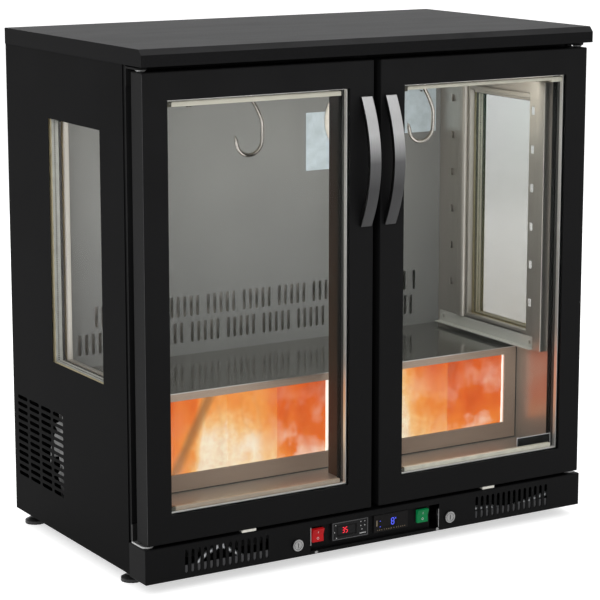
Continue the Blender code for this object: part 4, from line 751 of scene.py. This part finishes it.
# pilasters: folded sheets with square holes, a rib beside them except on the left rear one
pilasterForm = {
    "sheet": 0.001, "holes": 6, "holeHead": 0.055, "overSalt": 0.092, "ribStep": 0.007, "soft": 0.0004,
    "arc": 6,
    "front": {"wide": 0.009, "tall": 0.0145, "rib": {"left": 0.025, "right": 0.025}, "lead": 0,
              "reach": 0.005, "shift": 0.0065},
    "rear": {"wide": 0.0125, "tall": 0.013, "rib": {"left": 0, "right": 0.022}, "lead": 0.009,
             "reach": 0, "shift": 0},
    "frontRound": 0.0016, "rearRound": 0.32,      # the rear one as a share of the rib
}
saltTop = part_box("salt_frame")[1].z
for word, side in doorSides:
    for label in ("front", "rear"):
        name, form, sheet = "pilaster_" + label + "_" + word, pilasterForm[label], pilasterForm["sheet"]
        low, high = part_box(name)
        ribWide = form["rib"][word]
        room = max(abs(low.x), abs(high.x))       # wall side
        face = min(abs(low.x), abs(high.x)) + (pilasterForm["ribStep"] if ribWide else 0)
        lead = form["lead"] if ribWide else 0
        faceY = (low.y + ribWide, high.y + form["reach"])
        middle = (low.y + ribWide + lead + high.y) / 2 + form["shift"]
        top, bottom = high.z - pilasterForm["holeHead"], saltTop + pilasterForm["overSalt"]
        cutsZ = [low.z]
        for i in range(pilasterForm["holes"]):
            z = bottom + (top - bottom) * i / (pilasterForm["holes"] - 1)
            cutsZ += [z - form["tall"] / 2, z + form["tall"] / 2]
        cutsZ.append(high.z)
        cutsY = [faceY[0], middle - form["wide"] / 2, middle + form["wide"] / 2, faceY[1]]
        post = addGridSheet(bmesh.new(), cutsY, cutsZ, lambda i, k: i == 1 and k % 2 == 1,
                            sorted((side * face, side * (face + sheet))), 0)
        foldX = sorted((side * (face + sheet), side * room))
        if label == "rear":
            addBlock(post, (foldX[0], faceY[1] - sheet, low.z), (foldX[1], faceY[1], high.z))
        if ribWide:
            rib = face - pilasterForm["ribStep"]
            soft = ribWide * pilasterForm["rearRound"] if label == "rear" else pilasterForm["frontRound"]
            turns = [pi * i / 2 / pilasterForm["arc"] for i in range(pilasterForm["arc"] + 1)]
            outline = [(room, low.y)]
            outline += [(rib + soft * (1 - sin(a)), low.y + soft * (1 - cos(a))) for a in turns]
            outline += [(rib + soft * (1 - cos(a)), faceY[0] - soft * (1 - sin(a))) for a in turns]
            outline += [(room, faceY[0])]
            addPlate(post, [(side * x, y) for x, y in outline], (low.z, high.z), 2)
        else:
            addBlock(post, (foldX[0], low.y, low.z), (foldX[1], low.y + sheet, high.z))
        dressed = addPiece("dressed_" + name, post, "cabinet", "brushedStainless",
                           pilasterForm["soft"], 40)
        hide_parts(name)
print("pilasters")

# handles: a bowed strap, softened at its edges
handleForm = {"steps": 44, "foot": 0.86, "endRise": 0.005, "thickness": 0.0085, "round": 0.0016,
              "corner": 4}
for word, side in doorSides:
    low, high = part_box("door_handle_" + word)
    halfWidth, midX = (high.x - low.x) / 2, (high.x + low.x) / 2
    midZ, halfZ = (high.z + low.z) / 2, (high.z - low.z) / 2
    reach, corner = high.y - low.y, handleForm["round"]
    outlines, heights = [], []
    for i in range(handleForm["steps"] + 1):
        t = 2 * i / handleForm["steps"] - 1
        outY = high.y - handleForm["endRise"] - (reach - handleForm["endRise"]) * (1 - t * t)
        inY = high.y - max((reach - handleForm["thickness"]) * (1 - (t / handleForm["foot"]) ** 2), 0)
        outline = []
        for cx, cy, start in ((midX + halfWidth - corner, outY + corner, -90),
                              (midX + halfWidth - corner, inY - corner, 0),
                              (midX - halfWidth + corner, inY - corner, 90),
                              (midX - halfWidth + corner, outY + corner, 180)):
            for k in range(handleForm["corner"]):
                a = radians(start + 90 * k / (handleForm["corner"] - 1))
                outline.append((cx + corner * cos(a), cy + corner * sin(a)))
        outlines.append(outline)
        heights.append(midZ + t * halfZ)
    handle = addPiece("bowed_handle_" + word, addLoft(bmesh.new(), outlines, heights, 2), word + "_door",
                      "handleSteelPaintedLight", 0, 40)
    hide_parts("door_handle_" + word)
print("handles")

# hooks on the rail
hookForm = {"wire": 0.0035, "over": 0.0108, "lead": 0.014, "drop": 0.113, "bend": 0.026, "tip": 0.01,
            "thinTips": (0.6, 0.12)}
for word, side in doorSides:
    centre = jointSpot[word + "_hook_swing"]
    over, lead, drop, bend, tip = [hookForm[key] for key in ("over", "lead", "drop", "bend", "tip")]
    corners = [(0, over, -lead)]
    corners += [(0, over * cos(a), over * sin(a)) for a in [pi * i / 6 for i in range(7)]]
    corners += [(0, -over * 0.9, -lead), (bend * 0.5, -over * 0.4, -drop * 0.28), (bend, 0, -drop * 0.5),
                (bend, 0, bend - drop)]
    corners += [(bend * cos(a), 0, -drop + bend + bend * sin(a)) for a in [-pi * i / 6 for i in range(1, 6)]]
    corners += [(-bend, 0, bend - drop), (-bend - tip / 4, 0, bend + tip - drop)]
    hook = addWire("meat_hook_" + word, [centre + p for p in smoothPath(corners, 4)], hookForm["wire"],
                   word + "_hook", "polishedSteel", hookForm["thinTips"])
    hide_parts("hook_" + word)
print("hooks")

# salt housing: a bright folded edge along its top, a painted highlight in a brighter steel, and dark seams
# along its foot and right end
housingLow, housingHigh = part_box("salt_frame")
edgeForm = {"tall": 0.0012, "deep": 0.0006, "seamDeep": 0.0009, "seamTall": 0.0014, "seamWide": 0.001,
            "gap": 0.0001, "soft": 0.0002}
frontY, topZ = housingLow.y - edgeForm["gap"], housingHigh.z
# painted highlight: a bright strip along the top edge of the housing
addPiece("salt_housing_edge_highlight", blockMesh(
    ((housingLow.x, housingLow.y - edgeForm["deep"], topZ - edgeForm["tall"]),
     (housingHigh.x, frontY, topZ))),
    "cabinet", "brightSpacer", edgeForm["soft"])
seamY, seamTop = housingLow.y - edgeForm["seamDeep"], housingLow.z + edgeForm["seamTall"]
addPiece("salt_housing_seam", blockMesh(
    ((housingLow.x, seamY, housingLow.z + edgeForm["gap"]), (housingHigh.x, frontY, seamTop)),
    ((housingHigh.x - edgeForm["seamWide"], seamY, seamTop + edgeForm["gap"]),
     (housingHigh.x, frontY, topZ - edgeForm["tall"] - edgeForm["gap"]))), "cabinet", "spacerSeal")

# salt wall: separate rock salt blocks with uneven faces
saltForm = {
    "joints": (0.0, 0.122, 0.251, 0.377, 0.504, 0.677, 0.831, 1.0), "across": 22, "up": 14,
    "seam": 0.0012, "relief": 0.0022, "base": 0.9, "swing": 0.8, "deepest": 0.006,
    "wave": 42, "ripple": 130, "rippleShare": 0.4, "seed": 5.3,
    "edgeWide": 0.012, "edgeDip": 0.0035,
    "lightGaps": ((0.0003, 0.0045), (0.3885, 0.3915)), "gapProud": 0.0006, "gapDeep": 0.004,
    "gapInset": 0.003, "gapSoft": 0.0002,
}
low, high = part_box("salt_wall")
bm = bmesh.new()
columns, rows, seed, band = saltForm["across"], saltForm["up"], saltForm["seed"], saltForm["edgeWide"]
for left, right in zip(saltForm["joints"], saltForm["joints"][1:]):
    x0 = low.x + (high.x - low.x) * left + saltForm["seam"] / 2
    x1 = low.x + (high.x - low.x) * right - saltForm["seam"] / 2
    front, back = [], []
    for i in range(columns + 1):
        for k in range(rows + 1):
            u, w = i / columns, k / rows
            x, z = x0 + (x1 - x0) * u, low.z + (high.z - low.z) * w
            wave = noise.noise(Vector((x * saltForm["wave"], seed, z * saltForm["wave"])))
            ripple = noise.noise(Vector((x * saltForm["ripple"], seed * 2, z * saltForm["ripple"])))
            wave += saltForm["rippleShare"] * ripple
            edge = min(1, min(u, 1 - u) * (x1 - x0) / band, min(w, 1 - w) * (high.z - low.z) / band)
            dip = saltForm["relief"] * (saltForm["base"] + saltForm["swing"] * wave) * edge
            dip += saltForm["edgeDip"] * (1 - edge) ** 2
            front.append(bm.verts.new((x, low.y + min(max(dip, 0.0), saltForm["deepest"]), z)))
            back.append(bm.verts.new((x, high.y, z)))
    stride = rows + 1
    for i in range(columns):
        for k in range(rows):
            a = i * stride + k
            for grid in (front, back):
                bm.faces.new((grid[a], grid[a + stride], grid[a + stride + 1], grid[a + 1]))
    rim = [i * stride for i in range(columns + 1)]
    rim += [columns * stride + k for k in range(1, rows + 1)]
    rim += [i * stride + rows for i in range(columns - 1, -1, -1)]
    rim += list(range(rows - 1, 0, -1))
    bridgeRims(bm, [front[a] for a in rim], [back[a] for a in rim])
blocks = addPiece("salt_blocks", bm, "cabinet", "rockSalt", 0, 50)
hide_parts("salt_wall")
addPiece("salt_light_gaps", blockMesh(*[
    ((x0, low.y - saltForm["gapProud"], low.z + saltForm["gapInset"]),
     (x1, low.y + saltForm["gapDeep"], high.z - saltForm["gapInset"])) for x0, x1 in saltForm["lightGaps"]]),
    "cabinet", "ledDiffuser", saltForm["gapSoft"])
print("salt blocks")


# controllers: digits, keys and marks
segmentLayout = {"a": (0, 2, 1, 2), "b": (1, 1, 1, 2), "c": (1, 0, 1, 1), "d": (0, 0, 1, 0),
                 "e": (0, 0, 0, 1), "f": (0, 1, 0, 2), "g": (0, 1, 1, 1)}
digitSegments = {"3": "abcdg", "5": "acdfg", "8": "abcdefg"}


def addDigit(bm, digit, x, z, width, tall, span, stroke):
    half, trim = stroke / 2, stroke * 0.6
    for letter in digitSegments[digit]:
        u0, w0, u1, w1 = segmentLayout[letter]
        ax, az = x + u0 * width, z + w0 * tall / 2
        bx, bz = x + u1 * width, z + w1 * tall / 2
        if az == bz:
            points = [(ax + trim * 0.4, az), (ax + trim, az - half), (bx - trim, az - half),
                      (bx - trim * 0.4, az), (bx - trim, az + half), (ax + trim, az + half)]
        else:
            points = [(ax, az + trim * 0.4), (ax + half, az + trim), (ax + half, bz - trim),
                      (ax, bz - trim * 0.4), (ax - half, bz - trim), (ax - half, az + trim)]
        addPlate(bm, points, span, 1)


# places are shares of a controller's face, sizes of marks are metres
display = {
    "screen": (0.16, 0.24, 0.5, 0.5), "depth": 0.0008, "markThick": 0.0002,
    "humidity": {"digits": "35", "first": (0.13, 0.13), "pitch": 0.085, "size": (0.05, 0.28),
                 "stroke": 0.0012},
    "temperature": {"digits": "8", "first": (0.36, 0.09), "pitch": 0, "size": (0.075, 0.36),
                    "stroke": 0.0014},
    "arrows": ((0.79, 0.82), (0.9, 0.82), (0.79, 0.6), (0.9, 0.6), (0.82, 0.4), (0.1, 0.84), (0.07, 0.46),
               (0.12, 0.14)),
    "arrow": (0.0011, 0.0009, 0.0011), "keyRow": [0.76 + 0.035 * i for i in range(5)], "keyZ": 0.16,
    "key": (0.0016, 0.0017), "bezel": (0.0012, 0.0022), "rim": 0.0012, "rimDepths": (0.0006, 0.0001),
    "soft": 0.0002,
    "degree": (0.47, 0.38, 0.0026, 0.0008), "dots": (0.3, 0.62), "dotX": 0.03, "dot": 0.0008,
    "letters": (0.1, 0.16, 0.22, 0.36, 0.42, 0.5, 0.58, 0.66, 0.78, 0.84, 0.9), "letterZ": 0.1,
    "letter": (0.0014, 0.0015),
    "lines": (0.3, 0.47, 0.72), "lineZ": 0.07, "line": (0.0004, 0.0034), "sign": (0.07, 0.36, 0.1, 0.7),
}


def controllerFace(label):
    # box and size of the face, corner of its screen, its digits and their depths, depths of its marks
    low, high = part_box(label + "_controller")
    wide, tall, thick = high.x - low.x, high.z - low.z, display["markThick"]
    form, (u, w, _, _) = display[label], display["screen"]
    x, z = low.x + wide * u, low.z + tall * w
    screenY = tuple(low.y + display["depth"] - thick * part for part in (1.5, 0.5))
    digits = bmesh.new()
    for place, digit in enumerate(form["digits"]):
        addDigit(digits, digit, x + wide * (form["first"][0] + form["pitch"] * place),
                 z + tall * form["first"][1], wide * form["size"][0], tall * form["size"][1], screenY,
                 form["stroke"])
    return low, high, wide, tall, x, z, digits, screenY, (low.y - thick, low.y - thick / 4)


def addMarks(bm, shares, w, size, low, wide, tall, span):
    for u in shares:
        x, z = low.x + wide * u, low.z + tall * w
        addPlate(bm, rectOf(x, z, x + size[0], z + size[1]), span, 1)


low, high, wide, tall, screenX, screenZ, digits, screenY, markY = controllerFace("humidity")
addPiece("humidity_digits", digits, "cabinet", "redDigits")
marks = bmesh.new()
halfArrow, arrowFoot, arrowTip = display["arrow"]
for u, w in display["arrows"]:
    x, z = low.x + wide * u, low.z + tall * w
    addPlate(marks, [(x - halfArrow, z - arrowFoot), (x + halfArrow, z - arrowFoot), (x, z + arrowTip)],
             markY, 1)
addMarks(marks, display["keyRow"], display["keyZ"], display["key"], low, wide, tall, markY)
addPiece("humidity_key_marks", marks, "cabinet", "markWhite")
outer, inner = [grown((low.x, low.z, high.x, high.z), -inset) for inset in display["bezel"]]
addPiece("humidity_bezel_line", addRing(bmesh.new(), outer, inner, markY, 1), "cabinet",
         "outlineGrey")
screen = (screenX, screenZ, screenX + wide * display["screen"][2], screenZ + tall * display["screen"][3])
addPiece("humidity_window_rim",
         addRing(bmesh.new(), grown(screen, display["rim"]), screen,
                 tuple(low.y - depth for depth in display["rimDepths"]), 1),
         "cabinet", "controllerBlack", display["soft"])

low, high, wide, tall, screenX, screenZ, digits, screenY, markY = controllerFace("temperature")
u, w, size, line = display["degree"]
x, z = screenX + wide * u, screenZ + tall * w
addRing(digits, (x, z, x + size, z + size), (x + line, z + line, x + size - line, z + size - line),
        screenY, 1)
for w in display["dots"]:
    addDisc(digits, (screenX + wide * display["dotX"], low.z + tall * w), display["dot"], screenY, 1, 10)
addPiece("temperature_digits", digits, "cabinet", "blueDigits")
marks = bmesh.new()
addMarks(marks, display["letters"], display["letterZ"], display["letter"], low, wide, tall, markY)
addMarks(marks, display["lines"], display["lineZ"], display["line"], low, wide, tall, markY)
u0, w0, u1, w1 = display["sign"]
addPlate(marks, rectOf(low.x + wide * u0, low.z + tall * w0, low.x + wide * u1, low.z + tall * w1),
         markY, 1)
addPiece("temperature_key_marks", marks, "cabinet", "markGold")

# rocker marks: a bar on the upper half and a ring on the lower half, on the tilted face
rocker = {"front": 0.0065, "dip": 0.0024, "half": 0.0116, "lean": 8, "lift": 0.00015, "thick": 0.0001,
          "bar": (-0.0004, 0.0035, 0.0004, 0.0075), "ringZ": -0.0055, "ring": (0.0016, 0.0022), "steps": 12}
for word in ("red", "green"):
    centre = jointSpot[word + "_rocker"]
    marks = bmesh.new()

    def faceSpot(x, z):
        y = -rocker["front"] + rocker["dip"] * (1 - abs(z) / rocker["half"]) - rocker["lift"]
        lean = radians(rocker["lean"])
        return Vector((centre.x + x, centre.y + y * cos(lean) - z * sin(lean),
                       centre.z + y * sin(lean) + z * cos(lean)))

    strokes = [rectOf(*rocker["bar"])]
    inner, outer = [circleOf((0, rocker["ringZ"]), radius, rocker["steps"]) for radius in rocker["ring"]]
    for i in range(rocker["steps"]):
        k = (i + 1) % rocker["steps"]
        strokes.append([inner[i], outer[i], outer[k], inner[k]])
    for stroke in strokes:
        tops = [marks.verts.new(faceSpot(x, z)) for x, z in stroke]
        roots = [marks.verts.new(faceSpot(x, z) + Vector((0, rocker["thick"], 0))) for x, z in stroke]
        marks.faces.new(tops)
        marks.faces.new(roots)
        bridgeRims(marks, tops, roots)
    addPiece("rocker_marks_" + word, marks, word + "_switch", "markWhite")
print("controls")

# base panel: screws, recess ends, rear lip and lock rings
plinth = {
    "screwSpots": (-0.12, 0.1325), "screwZ": 0.0234, "screwRadius": 0.0032, "screwHead": 0.0012,
    "screwTaper": 0.7,
    "socket": (0.0019, 0.0013), "socketRise": (0.0003, 0.00005), "gap": 0.0002, "soft": 0.0002,
    "endStrips": ((-0.1316, -0.1302, 0.036, 0.068), (0.1346, 0.1358, 0.027, 0.06)),
    "stripDepths": (0.0004, 0.0072),
    "bolt": (0.1332, 0.0495), "boltBack": 0.0036, "boltRadius": 0.002, "boltHead": 0.0012,
    "lipInset": 0.004, "lipDepths": (0.0014, 0.0004), "lipHeights": (0.0022, 0.016),
    "lockRing": 0.0075, "ringWire": 0.0005, "ringSteps": 24,
}
panelLow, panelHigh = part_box("base_panel")
screws = bmesh.new()
headY = panelLow.y - plinth["screwHead"]
for x in plinth["screwSpots"]:
    addDisc(screws, (x, plinth["screwZ"]), plinth["screwRadius"], (headY, panelLow.y - plinth["gap"]), 1, 20,
            plinth["screwTaper"])
    outer, inner = [grown((x, plinth["screwZ"]) * 2, half) for half in plinth["socket"]]
    addRing(screws, outer, inner, tuple(headY - rise for rise in plinth["socketRise"]), 1)
addPiece("recess_screws", screws, "cabinet", "lockFace", 0, 35)
near, far = [panelLow.y + depth for depth in plinth["stripDepths"]]
strips = blockMesh(*[((x0, near, z0), (x1, far, z1)) for x0, x1, z0, z1 in plinth["endStrips"]])
boltX, boltZ = plinth["bolt"]
addDisc(strips, (panelLow.y + plinth["boltBack"], boltZ), plinth["boltRadius"],
        (boltX, boltX + plinth["boltHead"]), 0, 6)
addPiece("recess_end_strips", strips, "cabinet", "lockFace", plinth["soft"])
near, far = [panelHigh.y - depth for depth in plinth["lipDepths"]]
foot, head = [panelLow.z + height for height in plinth["lipHeights"]]
addPiece("panel_rear_lip", blockMesh(((panelLow.x + plinth["lipInset"], near, foot),
                                      (panelHigh.x - plinth["lipInset"], far, head))),
         "cabinet", "darkSheet")
for word, side in doorSides:
    spot = jointSpot[word + "_lock_turn"]
    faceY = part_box("lock_" + word)[0].y - plinth["gap"]
    circle = [(x, faceY, z) for x, z in circleOf((spot.x, spot.z), plinth["lockRing"], plinth["ringSteps"])]
    addWire("lock_ring_" + word, circle + circle[:1], plinth["ringWire"], word + "_lock",
            "edgeLight")
print("base panel")

# cone caps over the upper hinges, and a painted highlight: a light wire along the left door's edge
hingeCaps = {"reach": 0.0098, "foot": 0.6, "tall": 0.0033, "gap": 0.0002, "steps": 28, "soft": 0.0003}
edgeHighlight = {"inset": 0.0003, "short": 0.003, "wire": 0.0005}
doorLow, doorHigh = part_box("door_frame_left")
capFoot = doorHigh.z + hingeCaps["gap"]
for word, side in doorSides:
    spot = jointSpot[word + "_door_hinge"]
    cap = addDisc(bmesh.new(), (spot.x, spot.y), hingeCaps["reach"],
                  (capFoot, capFoot + hingeCaps["tall"]), 2, hingeCaps["steps"], hingeCaps["foot"])
    addPiece("hinge_cap_" + word, cap, "cabinet", "capZinc", hingeCaps["soft"], 50)
edgeX, edgeY = doorLow.x + edgeHighlight["inset"], doorLow.y + edgeHighlight["inset"]
addWire("door_edge_highlight", [(edgeX, edgeY, doorLow.z + edgeHighlight["short"]),
                           (edgeX, edgeY, doorHigh.z - edgeHighlight["short"])],
        edgeHighlight["wire"], "left_door", "edgeDim")
print("hinge caps")

# bare plates, pads beside the lower hinges and clips under the roof
fittings = {
    "gap": 0.0002, "soft": 0.0008,
    "backPlates": ((0.1129, 0.6154, 0.1681, 0.7245), (0.3322, 0.672, 0.408, 0.757)),
    "plateThick": 0.0006, "plateSoft": 0.0002,
    "cornerPlate": (0.322, 0.135, 0.398, 0.158), "cornerRim": 0.0012, "cornerGap": 0.0003,
    "cornerThick": 0.0004, "cornerRimThick": 0.0005,
    "pads": ((-0.265, -0.238), (0.232, 0.258)), "padDeep": 0.02, "padTall": 0.0052, "padLead": 0.002,
    "ceilingClips": (-0.137, 0.1435), "clipWide": 0.006, "clipFoot": 0.7515, "clipTall": 0.006,
    "clipDeep": 0.004,
}
coverLow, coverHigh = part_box("evaporator_cover")
coverY = coverLow.y - fittings["gap"]
addPiece("back_plates", blockMesh(*[
    ((x0, coverLow.y - fittings["plateThick"] - fittings["gap"], z0), (x1, coverY, z1))
    for x0, z0, x1, z1 in fittings["backPlates"]]),
    "cabinet", "palePlate", fittings["plateSoft"])
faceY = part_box("door_glass_rear_right")[0].y - fittings["cornerGap"]
plate = fittings["cornerPlate"]
x0, z0, x1, z1 = inner = grown(plate, -fittings["cornerRim"])
addPiece("door_corner_plate", blockMesh(((x0, faceY - fittings["cornerThick"], z0), (x1, faceY, z1))),
         "right_door", "controllerBlack")
addPiece("door_corner_plate_rim",
         addRing(bmesh.new(), plate, inner, (faceY - fittings["cornerRimThick"], faceY), 1), "right_door",
         "markWhite")
padY = panelLow.y + fittings["padLead"]
addPiece("hinge_side_pads", blockMesh(*[
    ((x0, padY, panelHigh.z + fittings["gap"]),
     (x1, padY + fittings["padDeep"], panelHigh.z + fittings["padTall"])) for x0, x1 in fittings["pads"]]),
    "cabinet", "whitePlastic", fittings["soft"])
halfClip, clipFoot = fittings["clipWide"] / 2, fittings["clipFoot"]
clipHead, clipY = clipFoot + fittings["clipTall"], coverLow.y - fittings["clipDeep"]
addPiece("cover_clips", blockMesh(*[
    ((x - halfClip, clipY, clipFoot), (x + halfClip, coverY, clipHead)) for x in fittings["ceilingClips"]]),
    "cabinet", "brushedStainless", fittings["soft"])

# the round white cover on the back wall, half hidden by the mullion, with a painted glow: radius and rise of
# its turned profile
roundCover = {
    "centre": (0.221, 0.7065), "steps": 40,
    "profile": ((0.068, 0.0012), (0.068, 0.005), (0.0655, 0.0085), (0.059, 0.012), (0.046, 0.0152),
                (0.028, 0.0172), (0.01, 0.018)),
}
turned = addLoft(bmesh.new(),
                 [circleOf(roundCover["centre"], reach, roundCover["steps"])
                  for reach, rise in roundCover["profile"]],
                 [coverLow.y - rise for reach, rise in roundCover["profile"]], 1)
wallCover = addPiece("round_wall_cover", turned, "cabinet", "coverWhite", 0, 30)
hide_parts("sensor_cover")
print("plates and clips")

# behind the grilles: a pale drip tray edge and bent pipes
plumbing = {
    "tray": (0.0222, 0.0425), "trayThick": 0.0006, "reach": (0.2, 0.385), "behindWall": 0.0021,
    "pipe": 0.0042, "gap": 0.0004, "bends": 6,
    "runs": {
        "left_high": ((-0.376, 0.028), (-0.352, 0.04), (-0.33, 0.055), (-0.3, 0.066)),
        "left_low": ((-0.318, 0.066), (-0.3, 0.062), (-0.28, 0.05), (-0.262, 0.038)),
        "right": ((0.21, 0.047), (0.25, 0.044), (0.29, 0.037), (0.33, 0.042), (0.38, 0.05)),
    },
}
tray = bmesh.new()
trayY = panelLow.y + plumbing["behindWall"]
for word, side in doorSides:
    x0, x1 = sorted(side * reach for reach in plumbing["reach"])
    addBlock(tray, (x0, trayY, plumbing["tray"][0]),
             (x1, trayY + plumbing["trayThick"], plumbing["tray"][1]))
addPiece("tray_edge", tray, "cabinet", "trayGrey")
pipeY = trayY + plumbing["trayThick"] + plumbing["pipe"] + plumbing["gap"]
for word, run in plumbing["runs"].items():
    addWire("plinth_pipe_" + word, smoothPath([(x, pipeY, z) for x, z in run], plumbing["bends"]),
            plumbing["pipe"], "cabinet", "zincSheet")
print("behind the grilles")

# floor
bm = bmesh.new()
half = studio["floorSize"] / 2
bm.faces.new([bm.verts.new((x, y, 0)) for x, y in rectOf(-half, -half, half, half)])
floorMesh = bpy.data.meshes.new("studioFloor")
bm.to_mesh(floorMesh)
bm.free()
floorPiece = bpy.data.objects.new("studioFloor", floorMesh)
scene.collection.objects.link(floorPiece)
paleFloor, tree, shader = newFinish("paleFloor", grey(studio["floorTone"]), 0.9, 0, 0.0)
shader.inputs["Emission Color"].default_value = (1, 1, 1, 1)
tree.links.new(addRange(tree, whiteRays(tree), 0.0, studio["floorGlow"]), shader.inputs["Emission Strength"])
floorMesh.materials.append(paleFloor)
print("floor")
